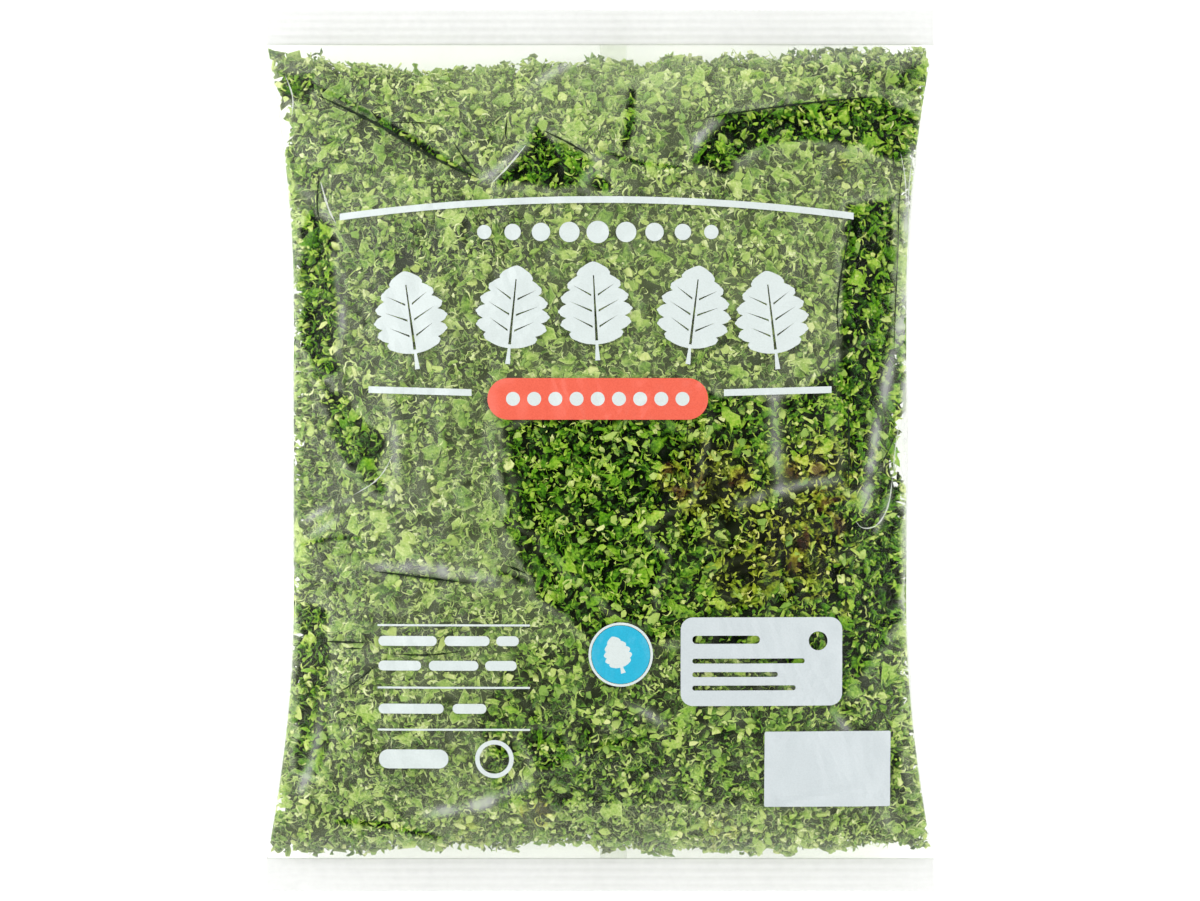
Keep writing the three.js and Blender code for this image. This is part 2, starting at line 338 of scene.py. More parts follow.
# Narrow lines where it clings along a crease.
CLING_LINES = ridges(
    ((-131, 165), (-54, 120), 1.3, 1.1, 2.0, 0.3), ((-98, 146), (-66, 127), 1.4, 1.9, 1.0, 0.2),
    ((0, 134), (36, 126), 1.2, 1.2, -2.0, 0.3), ((14, 160), (11, 136), 1.5, 2.1, 1.0, 0.3),
    ((-129, 107), (-126, 84), 1.4, 1.6, 1.0, 0.3), ((-133, -42), (-107, -39), 1.2, 1.1, 1.0, 0.3),
    ((-97, -54), (-45, -59), 1.1, 1.1, -1.0, 0.3), ((-117, -166), (-72, -174), 1.4, 1.8, 2.0, 0.3),
    ((-46, -54), (-18, -68), 1.3, 1.3, 2.0, 0.3), ((-24, -140), (20, -128), 1.2, 1.4, 2.0, 0.3),
    ((60, -60), (84, -64), 1.1, 1.2, 1.0, 0.3),
)

# Streaks where the film stands off in a fold and catches the light, painted into the film as white milk:
# painted highlights.
PAINTED_HIGHLIGHT_LINES = ridges(
    ((140, 136), (137, 100), 0.5, 2.0, 0.0, 0.3), ((137.5, 112), (135.5, 44), 0.5, 2.0, -0.5, 0.35),
    ((134.5, 58), (118, -26), 1.2, 2.4, -1.5, 0.3), ((132, 2), (123, -36), 0.6, 1.2, 2.5, 0.4),
    ((136, 30), (136, -14), 0.9, 1.6, 0.0, 0.35), ((137, -16), (136, -74), 0.5, 1.8, 0.0, 0.3),
    ((-103, -52), (-41, -60), 1.0, 3.0, 3.0, 0.2), ((-131, -31), (-111, -22), 0.9, 1.6, 1.0, 0.2),
    ((-130, -38), (-114, -27), 0.7, 1.4, -1.0, 0.2), ((-94, 23), (-92, -22), 0.6, 2.2, 2.0, 0.2),
    ((-53, 121), (-33, 137), 0.9, 2.0, -2.0, 0.3), ((-32, 160), (-14, 173), 0.9, 2.0, 1.0, 0.2),
    ((78, 23), (82, -18), 0.7, 2.8, -2.0, 0.3), ((62, -24), (105, -13), 0.7, 2.0, 2.0, 0.3),
    ((-77, -162), (-32, -148), 1.1, 2.6, -3.0, 0.2), ((-124, -112), (-134, -152), 0.9, 2.2, 2.0, 0.2),
    ((40, 130), (54, 147), 0.8, 1.7, 2.0, 0.3), ((-135, 118), (-121, 105), 0.9, 2.0, 1.0, 0.3),
    ((-119, 88), (-117, 40), 0.6, 1.8, 2.0, 0.2), ((-8, 118), (8, 135), 0.6, 2.6, 1.0, 0.2),
    ((104, -116), (130, -170), 0.6, 2.2, 3.0, 0.2), ((10, -112), (28, -122), 0.6, 2.0, 1.0, 0.2),
)

# Sharp pleats that show as thin dark lines, laid over the film as painted shade: the path of each, and
# its width in the middle.
DARK_PLEATS: tuple[tuple[Outline, float], ...] = (
    (((-126.5, 159), (-107.4, 150), (-92.8, 142), (-80, 133.6), (-64.3, 125.4), (-54, 121.3)), 1.5),
    (((-65.2, 137.3), (-58.8, 127.3), (-54.3, 121.8)), 0.8),
    (((-93.7, 146.4), (-80, 146.4), (-69, 145)), 0.5), (((-41.4, 149), (-42.4, 138.2)), 0.8),
    (((-125.6, 121.8), (-126.5, 109), (-125.2, 102.7)), 0.8),
    (((-100.7, -53.8), (-83.1, -55.7), (-59.2, -58.8)), 1.0), (((-122.4, -85.1), (-104.7, -85.5)), 1.0),
    (((-112.1, -88), (-105.5, -88.2)), 0.6), (((-116.7, -107.8), (-109.5, -103.8), (-100, -95.8)), 0.7),
    (((-93.5, -90.4), (-75.1, -91.1), (-61.4, -89.1)), 0.7), (((-40.8, -51.2), (-32.7, -54.6)), 1.0),
    (((132.5, 8.2), (127.2, -3.3), (122.7, -10.3)), 0.6), (((110.3, 22), (111, 2), (110.3, -17)), 0.9),
    (((44.4, 148), (71.3, 152.3), (98, 156), (125.1, 158.1)), 0.9),
    (((-25.1, 142.5), (-11.7, 135.9), (-4.9, 131.4)), 1.0),
    (((136.3, 133.6), (133.4, 112), (133.2, 89.1), (131.9, 66), (131.4, 44.5)), 0.6),
    (((112.6, 104.7), (104.9, 66.8), (106.3, 49)), 0.8),
)

# Sharp pleats that catch the light, laid over the film as painted highlights.
BRIGHT_PLEATS: tuple[tuple[Outline, float], ...] = (
    (((-124.7, 120), (-121.1, 107.4), (-117.5, 100.9)), 0.9),
    (((130.7, -11.1), (128.9, -25.3), (123.6, -34.1), (116.5, -35), (113.9, -31.4)), 0.6),
    (((133.6, 12), (131.4, -2), (130.7, -11.1)), 0.5), (((-48, 119), (-40, 127), (-33, 136)), 0.8),
    (((-141, 168), (-137, 158), (-138, 149)), 0.6), (((-110, -20), (-98, -13), (-92, -2)), 0.5),
    (((140.5, 135), (138.2, 120), (137.6, 104)), 0.5), (((134.4, 133), (136.6, 122), (137, 108)), 0.5),
)

# Spots where the cut leaf has turned olive, and red-brown at the strongest: x, y, radius, strength.
BLUSHES = (
    (50, -16, 28, 0.66), (94, -14, 26, 0.68), (84, -42, 32, 0.7), (64, -54, 22, 0.6), (31, -8, 6, 1.0),
    (36, -19, 6.5, 1.0), (44, -14, 6, 1.0), (96, -9, 7, 1.0), (101, -23, 7, 1.0), (84, -10, 6, 0.95),
    (92, -40, 8, 1.0), (86, -52, 6, 0.95), (106, -34, 6, 0.95), (62, -12, 7, 0.95),
    (-27, -161, 8, 0.95), (108, 126, 6, 0.6), (52, -168, 10, 0.5), (-58, -170, 9, 0.4),
)

# Where breath under the film makes more haze than usual, or less: x, y, reach across, reach
# along, and how much.
MISTS = (
    (17, 166, 58, 15, 1.25), (22, 84, 50, 26, 0.25), (-99, 140, 15, 12, -0.35),
    (-126, 10, 12, 22, -0.3), (118, 166, 26, 14, -0.4), (-84, -170, 46, 9, 0.25),
    (-70, 96, 40, 16, -0.35), (72, 76, 14, 26, 0.2), (-66, -38, 26, 30, 0.2),
    (-112, -110, 20, 56, -0.35), (-90, 84, 26, 14, -0.4), (7, -141, 34, 30, -0.35),
)


def distance_to_outline(x: Array, y: Array, outline: Outline) -> Array:
    """Signed distance of each point from an outline, above zero inside it.

    Args:
        x: Places across the bag, in mm.
        y: Places along the bag, in mm.
        outline: The outline's corners, in mm.

    Returns:
        The distances, in mm.
    """
    corners = np.asarray(outline, float)
    nearest = np.full(x.shape, np.inf)
    inside = np.zeros(x.shape, bool)
    for a, b in zip(corners, np.roll(corners, -1, axis=0)):
        run = b - a
        share = ((x - a[0]) * run[0] + (y - a[1]) * run[1]) / (run @ run)
        share = np.clip(share, 0.0, 1.0)
        off = np.hypot(x - a[0] - share * run[0], y - a[1] - share * run[1])
        nearest = np.minimum(nearest, off)
        crosses = (a[1] > y) != (b[1] > y)
        rise = b[1] - a[1] if b[1] != a[1] else 1e-9
        inside ^= crosses & (x < a[0] + (y - a[1]) * run[0] / rise)
    return np.where(inside, nearest, -nearest)


@dataclass
class Field:
    """A value for each point of the bag's front, worked out once on a fine grid and then read off."""

    rule: Callable[[Array, Array], Array]
    half_x: float = 152.0
    half_y: float = 200.0
    step: float = 0.8
    grid: Array = field(init=False)

    def __post_init__(self) -> None:
        """Works the rule out at every point of the grid."""
        xs = np.arange(-self.half_x, self.half_x + self.step, self.step)
        ys = np.arange(-self.half_y, self.half_y + self.step, self.step)
        self.grid = self.rule(*np.meshgrid(xs, ys))

    def __call__(self, x: Array, y: Array) -> Array:
        """Value at each point, in between the grid's.

        Args:
            x: Places across the bag, in mm.
            y: Places along the bag, in mm.

        Returns:
            The values.
        """
        rows, columns = self.grid.shape
        u = np.clip((np.asarray(x) + self.half_x) / self.step, 0, columns - 1.001)
        v = np.clip((np.asarray(y) + self.half_y) / self.step, 0, rows - 1.001)
        i, j = u.astype(int), v.astype(int)
        a, b = u - i, v - j
        low = mix(self.grid[j, i], self.grid[j, i + 1], a)
        high = mix(self.grid[j + 1, i], self.grid[j + 1, i + 1], a)
        return mix(low, high, b)


class Bag:
    """The bag's shape as it shows: its form with folds, creases and the kale's own lumps."""

    # Heights in mm of the gathers at the seals and of the seals' own waves, and the distances from
    # a seal over which they fade.
    GATHER = 0.75
    GATHER_FADE = 15.0
    SEAL_WAVE = 2.2
    SEAL_FADE = 22.0
    # Distances from a seal between which the film comes down on the kale, and between which the
    # back's waves end.
    EMPTY_END = (5.0, 13.0)
    BACK_FLAT = (30.0, 60.0)
    # Painted highlight along the rim of a clear place: how much, how far outside it and how wide, in mm.
    RIM_LIGHT = 0.24
    RIM_OFF = 1.4
    RIM_WIDTH = 1.2
    # The least strength of a clear place that has such a rim, and the light of the empty ends.
    RIM_FROM = 0.75
    EMPTY_LIGHT = 0.45

    def __init__(self, form: BagForm) -> None:
        """Works out the folds and the clinging places of the film."""
        self.form = form
        self.lumps = WaveField(13, 34, 0.55, seed=21)
        self.crumple = WaveField(9, 26, 0.34, seed=5, crisp=0.85, bent=9.0)
        self.seal_wave = WaveField(46, 120, 0.55, seed=44, waves=6)
        self.edge_wave = WaveField(40, 110, 0.3, seed=12, waves=5)
        self.relief = Field(self.relief_rule)
        self.cling = Field(self.cling_rule)
        self.haze_and_painted_highlight = Field(self.haze_and_highlight_rule)
        self.mist = Field(self.mist_rule)

    def relief_rule(self, x: Array, y: Array) -> Array:
        """Height that folds, creases, gathers and lumps add to the front, in mm."""
        near = self.form.from_seal(y)
        folds = sum(fold.relief(x, y) for fold in CORNER_FOLDS)
        fine = sum(crease.relief(x, y) for crease in CREASES)
        fine = fine + self.lumps(x, y) + self.crumple(x, y)
        phase = 1.9 * np.sin(x / 17.0) + 0.9 * np.sin(x / 7.3 + 1.0) + 0.05 * near
        fade = np.exp(-near / self.GATHER_FADE)
        gather = self.GATHER * np.sin(x / 3.1 + phase) * fade * ease(near, 0.0, 5.0)
        return folds * np.minimum(1.0, near / 12.0) + fine * ease(near, 2.0, 22.0) + gather

    @staticmethod
    def zones(x: Array, y: Array) -> list[tuple[Array, float]]:
        """Each clinging place as the signed distance from its ragged edge, with its strength."""
        ragged = WaveField(6, 22, 1.2, seed=77)(x, y)
        return [(distance_to_outline(x, y, outline) + ragged, how) for outline, how in CLINGS]

    def cling_rule(self, x: Array, y: Array) -> Array:
        """How much the film clings to the kale, from 0 where it stands off to 1."""
        total = np.zeros(x.shape)
        for inside, strength in self.zones(x, y):
            total = np.maximum(total, strength * ease(inside, -0.5, 0.7))
        # The film touches and leaves the kale in patches a few millimetres wide, also inside a zone.
        patchy = WaveField(6, 17, 0.3, seed=83, waves=18)(x, y)
        total = np.clip(total + patchy * (1.0 - 0.8 * total), 0.0, 1.0)
        for line in CLING_LINES:
            total = np.maximum(total, ease(line.relief(x, y), 0.35, 0.7))
        return total

    def haze_and_highlight_rule(self, x: Array, y: Array) -> Array:
        """How much light the film's folds catch, painted as milk in the film (a painted highlight), from
        0 to about 1.5.
        """
        broken = 1.0 + 0.45 * WaveField(8, 26, 1.0, seed=54)(x, y)
        total = sum(line.relief(x, y) for line in PAINTED_HIGHLIGHT_LINES)
        # The film bends where it lifts off the kale, so the edge of a clear place shows light, painted
        # here as a highlight.
        for inside, strength in self.zones(x, y):
            if strength > self.RIM_FROM:
                off = (inside + self.RIM_OFF) / self.RIM_WIDTH
                total = total + self.RIM_LIGHT * np.exp(-(off**2))
        empty = self.EMPTY_LIGHT * (1.0 - ease(self.form.from_seal(y), *self.EMPTY_END))
        return np.clip(total * broken + empty, 0.0, 1.6)

    def mist_rule(self, x: Array, y: Array) -> Array:
        """How much haze there is under the film, as a multiple of the usual."""
        total = np.ones(x.shape)
        for middle_x, middle_y, across, along, more in MISTS:
            off = ((x - middle_x) / across) ** 2 + ((y - middle_y) / along) ** 2
            total = total + more * np.exp(-off)
        return np.maximum(total, 0.0) * ease(self.form.from_seal(y), *self.EMPTY_END)

    def side_shares(self, x: Array, y: Array) -> Array:
        """Place across the bag, from -1 to 1, of each point."""
        return np.clip(x / self.form.half_width(y), -1.0, 1.0)

    def folded(self, share: Array, x: Array, y: Array) -> Array:
        """Height in mm that the folds, which end at the sides, and the seals' waves add in front."""
        side = ease(1.0 - np.abs(share), 0.0, 0.1)
        return self.relief(x, y) * side + self.seal_lift(x, y)

    def front_z(self, x: Array, y: Array) -> Array:
        """Height of the front film over each point, with its folds, in mm."""
        share = self.side_shares(x, y)
        return self.form.front(share, y)[1] + self.folded(share, x, y)

    def back_z(self, x: Array, y: Array) -> Array:
        """Height of the back film over each point, in mm."""
        lift = np.maximum(0.0, self.seal_lift(x, y))
        return self.form.back(self.side_shares(x, y), y)[1] + lift

    def seal_lift(self, x: Array, y: Array) -> Array:
        """Slow waves of the flat seals, which fade into the filled bag."""
        fade = np.exp(-self.form.from_seal(y) / self.SEAL_FADE)
        return self.SEAL_WAVE * self.seal_wave(x, 0.25 * np.asarray(y)) * fade

    def back_lift(self, x: Array, y: Array) -> Array:
        """Waves of the seals in the back, which end before the part that lies flat."""
        return self.seal_lift(x, y) * (1.0 - ease(self.form.from_seal(y), *self.BACK_FLAT))

    def outline_shift(self, y: Array) -> Array:
        """Small waves of the bag's side edges, in mm."""
        return self.edge_wave(np.full_like(y, 70.0), y) * ease(self.form.from_seal(y), 4.0, 30.0)


# Meshes


def mesh_object(name: str, points: Array, faces: Sequence[Sequence[int]]) -> Piece:
    """Makes a mesh object at the origin.

    Args:
        name: The piece's name.
        points: Its points, in mm.
        faces: The point numbers of each face, outwards.

    Returns:
        The new object, in metres.
    """
    mesh = bpy.data.meshes.new(name)
    mesh.from_pydata((np.asarray(points) * MM).tolist(), [], [list(map(int, f)) for f in faces])
    mesh.validate()
    made = bpy.data.objects.new(name, mesh)
    bpy.context.scene.collection.objects.link(made)
    return made


def set_attribute(target: Piece, name: str, values: Array) -> None:
    """Stores one number for each point of a mesh."""
    made = target.data.attributes.new(name, "FLOAT", "POINT")
    made.data.foreach_set("value", np.asarray(values, np.float32))


def get_attribute(target: Piece, name: str) -> Array:
    """Reads one number for each point of a mesh."""
    values = np.empty(len(target.data.vertices), np.float32)
    target.data.attributes[name].data.foreach_get("value", values)
    return values.astype(float)


def smooth(target: Piece) -> None:
    """Shades every face smoothly."""
    target.data.polygons.foreach_set("use_smooth", [True] * len(target.data.polygons))


def ring_faces(rings: int, points: int) -> list[tuple[int, ...]]:
    """Faces of a tube through rings of points, with its two ends closed.

    Args:
        rings: Number of rings, from the low end to the high end.
        points: Number of points in each ring.

    Returns:
        The faces, as point numbers.
    """
    faces: list[tuple[int, ...]] = []
    for j in range(rings - 1):
        for i in range(points):
            a, b = j * points + i, j * points + (i + 1) % points
            faces.append((a, a + points, b + points, b))
    faces.append(tuple(range(points)))
    faces.append(tuple(reversed(range((rings - 1) * points, rings * points))))
    return faces


def grid_faces(rows: int, columns: int) -> list[tuple[int, int, int, int]]:
    """Faces of a sheet of points that are numbered row by row, turned up."""
    corners = (j * columns + i for j in range(rows - 1) for i in range(columns - 1))
    return [(a, a + 1, a + columns + 1, a + columns) for a in corners]


def sheet_faces(rows: int, columns: int) -> list[tuple[int, ...]]:
    """Faces of a thin solid whose upper points come first, row by row, and then its lower ones.

    Args:
        rows: Rows of points.
        columns: Points in each row.

    Returns:
        The faces, as point numbers.
    """
    count = rows * columns
    faces: list[tuple[int, ...]] = []
    for a, c, d, b in grid_faces(rows, columns):
        faces += [(a, c, d, b), (count + a, count + b, count + d, count + c)]
    rim = list(range(columns))
    rim += [j * columns + columns - 1 for j in range(1, rows)]
    rim += [(rows - 1) * columns + i for i in range(columns - 2, -1, -1)]
    rim += [j * columns for j in range(rows - 2, 0, -1)]
    faces += [(a, count + a, count + b, b) for a, b in zip(rim, rim[1:] + rim[:1])]
    return faces


def closed_sheet(name: str, top: Array, low: Array, flip: bool = False) -> Piece:
    """Closes two grids of points into one thin solid.

    Args:
        name: The piece's name.
        top: Points of its upper side, row by row.
        low: Points of its lower side.
        flip: Turns every face round, for rows that run down the bag.

    Returns:
        The thin solid.
    """
    faces = sheet_faces(*top.shape[:2])
    if flip:
        faces = [tuple(reversed(face)) for face in faces]
    made = mesh_object(name, np.concatenate((top.reshape(-1, 3), low.reshape(-1, 3))), faces)
    smooth(made)
    return made


def points_of(target: Piece) -> Array:
    """Points of a mesh, in mm."""
    values = np.empty(3 * len(target.data.vertices), np.float32)
    target.data.vertices.foreach_get("co", values)
    return values.reshape(-1, 3).astype(float) / MM


def move_points(target: Piece, points: Array) -> None:
    """Gives a mesh new points, in mm."""
    values = (np.asarray(points) * MM).astype(np.float32)
    target.data.vertices.foreach_set("co", values.ravel())
    target.data.update()


# Node helpers


def linear(colour: str) -> tuple[float, float, float, float]:
    """Turns an sRGB hex colour into the linear one that shaders take."""
    parts = [int(colour[i : i + 2], 16) / 255.0 for i in (1, 3, 5)]
    values = [p / 12.92 if p <= 0.04045 else ((p + 0.055) / 1.055) ** 2.4 for p in parts]
    return values[0], values[1], values[2], 1.0


def add(
    tree: Tree, kind: str, inputs: dict[str | int, object] | None = None, **settings: object
) -> bpy.types.Node:
    """Adds a node with its settings, input values and links.

    Args:
        tree: The tree that takes the node.
        kind: The node's type name.
        inputs: A value, or an output to link, for each input by name or number.
        **settings: The node's own properties.

    Returns:
        The new node.
    """
    node = tree.nodes.new(kind)
    for name, value in settings.items():
        setattr(node, name, value)
    for name, value in (inputs or {}).items():
        if isinstance(value, Socket):
            tree.links.new(value, node.inputs[name])
        else:
            node.inputs[name].default_value = value
    return node


def new_material(name: str) -> tuple[Material, Tree]:
    """Makes an empty node material.

    Args:
        name: The finish's name.

    Returns:
        The material and its node tree.
    """
    material = bpy.data.materials.new(name)
    material.use_nodes = True
    material.node_tree.nodes.clear()
    return material, material.node_tree


def ramp(tree: Tree, factor: Socket, stops: Sequence[tuple[float, str]]) -> Socket:
    """Adds a colour ramp.

    Args:
        tree: The material's tree.
        factor: What drives the ramp.
        stops: Each stop's place and sRGB hex colour.

    Returns:
        The ramp's colour output.
    """
    node = add(tree, "ShaderNodeValToRGB", {"Fac": factor})
    elements = node.color_ramp.elements
    while len(elements) < len(stops):
        elements.new(0.5)
    for element, (place, colour) in zip(elements, stops):
        element.position = place
        element.color = linear(colour)
    return node.outputs["Color"]


# Finishes


@dataclass(frozen=True)
class CutLeaf:
    """Finely cut curly kale leaf, raw and moist: waxy bloom, lighter towards each piece's rim, deeper
    where wet.
    """

    name: str = "cut_kale_leaf"
    places: tuple[float, ...] = (0.0, 0.17, 0.36, 0.58, 0.8, 1.0)
    dry: tuple[str, ...] = ("#081903", "#365C1A", "#6E9236", "#99B455", "#BCCB7D", "#E2E6B8")
    wet: tuple[str, ...] = ("#061A02", "#234B08", "#4A8010", "#77A424", "#9FBB45", "#C2CE76")
    turned: tuple[str, ...] = ("#120A03", "#3C2F0A", "#757015", "#A8A830", "#C9C65C", "#E0D98C")
    rim: str = "#D6E49C"
    red_brown: str = "#3E140C"
    vein_mm: float = 1.3
    roughness: float = 0.33

    def build(self) -> Material:
        """Builds the material."""
        material, tree = new_material(self.name)
        place = add(tree, "ShaderNodeTexCoord").outputs["Object"]
        tint, edge, red, wet = (
            add(tree, "ShaderNodeAttribute", attribute_name=name).outputs["Fac"]
            for name in ("tint", "rim", "blush", "wet")
        )
        # Fine veins and blisters of the leaf, about as wide apart as the real ones.
        vein = add(
            tree, "ShaderNodeTexNoise",
            {"Vector": place, "Scale": 1.0 / (self.vein_mm * MM), "Detail": 3.0},
        ).outputs["Fac"]
        veined = add(
            tree, "ShaderNodeMath", {0: vein, 1: 0.8, 2: tint}, operation="MULTIPLY_ADD"
        ).outputs[0]
        shade = add(tree, "ShaderNodeMath", {0: veined, 1: 0.4}, operation="SUBTRACT").outputs[0]
        rim_share = add(
            tree, "ShaderNodeMapRange",
            {"Value": edge, "From Min": 0.5, "From Max": 1.0, "To Max": 0.45},
        ).outputs["Result"]
        brown_share = add(
            tree, "ShaderNodeMapRange", {"Value": red, "From Min": 0.8, "From Max": 1.0, "To Max": 0.85}
        ).outputs["Result"]
        colour, soaked, olive = (
            ramp(tree, shade, list(zip(self.places, tones)))
            for tones in (self.dry, self.wet, self.turned)
        )
        # Wet leaf lets more light through, so it has deeper colours of its own.
        for share, paint in (
            (rim_share, linear(self.rim)), (wet, soaked), (red, olive),
            (brown_share, linear(self.red_brown)),
        ):
            colour = add(
                tree, "ShaderNodeMix", {0: share, 6: colour, 7: paint}, data_type="RGBA"
            ).outputs[2]
        bump = add(
            tree, "ShaderNodeBump", {"Height": vein, "Strength": 0.45, "Distance": 0.3 * MM}
        ).outputs["Normal"]
        body = add(
            tree,
            "ShaderNodeBsdfPrincipled",
            {
                "Base Color": colour, "Roughness": self.roughness, "IOR": 1.42, "Normal": bump,
                "Specular IOR Level": 0.09,
            },
        ).outputs["BSDF"]
        add(tree, "ShaderNodeOutputMaterial", {"Surface": body})
        return material


@dataclass(frozen=True)
class CutStem:
    """Cut kale midrib: pale, juicy and smooth, with fine fibres that the knife leaves bright."""

    name: str = "cut_kale_midrib"
    fibre_mm: float = 0.9

    def build(self) -> Material:
        """Builds the material."""
        material, tree = new_material(self.name)
        place = add(tree, "ShaderNodeTexCoord").outputs["Object"]
        tint = add(tree, "ShaderNodeAttribute", attribute_name="tint").outputs["Fac"]
        stretched = add(
            tree, "ShaderNodeMapping", {"Vector": place, "Scale": (1.0, 0.35, 1.0)}
        ).outputs["Vector"]
        fibre = add(
            tree, "ShaderNodeTexNoise",
            {"Vector": stretched, "Scale": 1.0 / (self.fibre_mm * MM), "Detail": 2.0},
        ).outputs["Fac"]
        shade = add(
            tree, "ShaderNodeMath", {0: fibre, 1: 0.4, 2: tint}, operation="MULTIPLY_ADD"
        ).outputs[0]
        colour = ramp(
            tree, shade, ((0.1, "#6C9432"), (0.5, "#93B049"), (0.85, "#B3C468"), (1.0, "#CFD78E"))
        )
        bump = add(
            tree, "ShaderNodeBump", {"Height": fibre, "Strength": 0.3, "Distance": 0.2 * MM}
        ).outputs["Normal"]
        body = add(
            tree, "ShaderNodeBsdfPrincipled",
            {"Base Color": colour, "Roughness": 0.38, "IOR": 1.4, "Normal": bump},
        ).outputs["BSDF"]
        add(tree, "ShaderNodeOutputMaterial", {"Surface": body})
        return material


@dataclass(frozen=True)
class ClearFilm:
    """Oriented polypropylene film: clear and glossy, with a mist tinted green as painted light for the
    kale's green that it scatters, and painted highlight streaks.
    """

    name: str = "clear_polypropylene_film"
    # The mist's green is painted light: it stands for the kale's light that the haze scatters.
    mist: str = "#D2E8A6"
    haze_and_painted_highlight: str = "#DCDFD9"
    clear: float = 0.001
    hazy: float = 0.1
    painted_highlight_strength: float = 0.26
    crinkle_mm: float = 11.0
    roughness: float = 0.22
    face_on_gloss: float = 0.02
    wetted_gloss: float = 0.004

    def build(self) -> Material:
        """Builds the material."""
        material, tree = new_material(self.name)
        place = add(tree, "ShaderNodeTexCoord").outputs["Object"]
        cling, painted_highlights, breath = (
            add(tree, "ShaderNodeAttribute", attribute_name=name).outputs["Fac"]
            for name in ("cling", "haze_and_painted_highlight", "mist")
        )
        # Breath and drops under the film, in blotches about 30 mm across.
        blotch = add(
            tree, "ShaderNodeTexNoise", {"Vector": place, "Scale": 1.0 / 0.03, "Detail": 3.0}
        ).outputs["Fac"]
        crinkle = add(
            tree, "ShaderNodeTexNoise",
            {"Vector": place, "Scale": 1.0 / (self.crinkle_mm * MM), "Detail": 2.0},
        ).outputs["Fac"]
        standing = add(
            tree,
            "ShaderNodeMapRange",
            {
                "Value": blotch, "From Min": 0.3, "From Max": 0.7, "To Min": 0.7 * self.hazy,
                "To Max": 1.3 * self.hazy,
            },
        ).outputs["Result"]
        haze = add(tree, "ShaderNodeMath", {0: standing, 1: breath}, operation="MULTIPLY").outputs[0]
        even = add(
            tree, "ShaderNodeMix", {0: cling, 2: haze, 3: self.clear}, data_type="FLOAT"
        ).outputs[0]
        # Share of milk: the haze, plus the painted highlight streaks along the folds and rims.
        haze_and_painted_highlight = add(
            tree, "ShaderNodeMath", {0: painted_highlights, 1: self.painted_highlight_strength, 2: even}, operation="MULTIPLY_ADD"
        ).outputs[0]
        bump = add(
            tree, "ShaderNodeBump", {"Height": crinkle, "Strength": 0.25, "Distance": 0.5 * MM}
        ).outputs["Normal"]
        # The painted highlights take their own colour, and the haze takes the mist's.
        share = add(
            tree, "ShaderNodeMapRange", {"Value": painted_highlights, "From Min": 0.0, "From Max": 0.8}
        ).outputs["Result"]
        milk_colour = add(
            tree, "ShaderNodeMix", {0: share, 6: linear(self.mist), 7: linear(self.haze_and_painted_highlight)},
            data_type="RGBA",
        ).outputs[2]
        open_air = add(tree, "ShaderNodeBsdfTransparent").outputs["BSDF"]
        milk = add(
            tree, "ShaderNodeBsdfPrincipled",
            {"Base Color": milk_colour, "Roughness": 0.5, "IOR": 1.49, "Normal": bump},
        ).outputs["BSDF"]
        body = add(tree, "ShaderNodeMixShader", {0: haze_and_painted_highlight, 1: open_air, 2: milk}).outputs[0]
        shine = add(
            tree, "ShaderNodeBsdfGlossy",
            {"Color": linear("#FFFFFF"), "Roughness": self.roughness, "Normal": bump},
        ).outputs["BSDF"]
        # A thin film reflects alike from both sides, so its gloss grows with the angle alone.
        facing = add(tree, "ShaderNodeLayerWeight", {"Blend": 0.5, "Normal": bump}).outputs["Facing"]
        steep = add(tree, "ShaderNodeMath", {0: facing, 1: 5.0}, operation="POWER").outputs[0]
        # Where the film lies wet on the kale, it has lost its inner side's reflection.
        face_on = add(
            tree, "ShaderNodeMix", {0: cling, 2: self.face_on_gloss, 3: self.wetted_gloss},
            data_type="FLOAT",
        ).outputs[0]
        grazing = add(
            tree, "ShaderNodeMath", {0: steep, 1: 0.9, 2: face_on}, operation="MULTIPLY_ADD"
        ).outputs[0]
        whole = add(tree, "ShaderNodeMixShader", {0: grazing, 1: body, 2: shine}).outputs[0]
        add(tree, "ShaderNodeOutputMaterial", {"Surface": whole})
        return material


@dataclass(frozen=True)
class WeldedFilm:
    """Two plies of film pressed hot between ribbed jaws, which turns them milky and grey-white."""

    name: str = "crimp_welded_film"
    milk: str = "#EBECEA"
    cover: float = 0.8

    def build(self) -> Material:
        """Builds the material."""
        material, tree = new_material(self.name)
        place = add(tree, "ShaderNodeTexCoord").outputs["Object"]
        cloud = add(
            tree, "ShaderNodeTexNoise", {"Vector": place, "Scale": 1.0 / 0.012, "Detail": 4.0}
        ).outputs["Fac"]
        cover = add(
            tree,
            "ShaderNodeMapRange",
            {
                "Value": cloud, "From Min": 0.3, "From Max": 0.7, "To Min": self.cover - 0.08,
                "To Max": self.cover + 0.08,
            },
        ).outputs["Result"]
        bump = add(
            tree, "ShaderNodeBump", {"Height": cloud, "Strength": 0.2, "Distance": 0.4 * MM}
        ).outputs["Normal"]
        body = add(
            tree,
            "ShaderNodeBsdfPrincipled",
            {
                "Base Color": linear(self.milk), "Roughness": 0.3, "IOR": 1.49, "Alpha": cover,
                "Normal": bump,
            },
        ).outputs["BSDF"]
        add(tree, "ShaderNodeOutputMaterial", {"Surface": body})
        return material


@dataclass(frozen=True)
class PinchedFilm:
    """Film folded sharply on itself: a thin line laid on the film, painted shade where it is dark over
    wet leaf and a painted highlight where it shines.
    """

    name: str
    colour: str
    cover: float

    def build(self) -> Material:
        """Builds the material."""
        material, tree = new_material(self.name)
        body = add(
            tree,
            "ShaderNodeBsdfPrincipled",
            {
                "Base Color": linear(self.colour), "Roughness": 0.3, "IOR": 1.49, "Alpha": self.cover,
                "Specular IOR Level": 0.2,
            },
        ).outputs["BSDF"]
        add(tree, "ShaderNodeOutputMaterial", {"Surface": body})
        return material


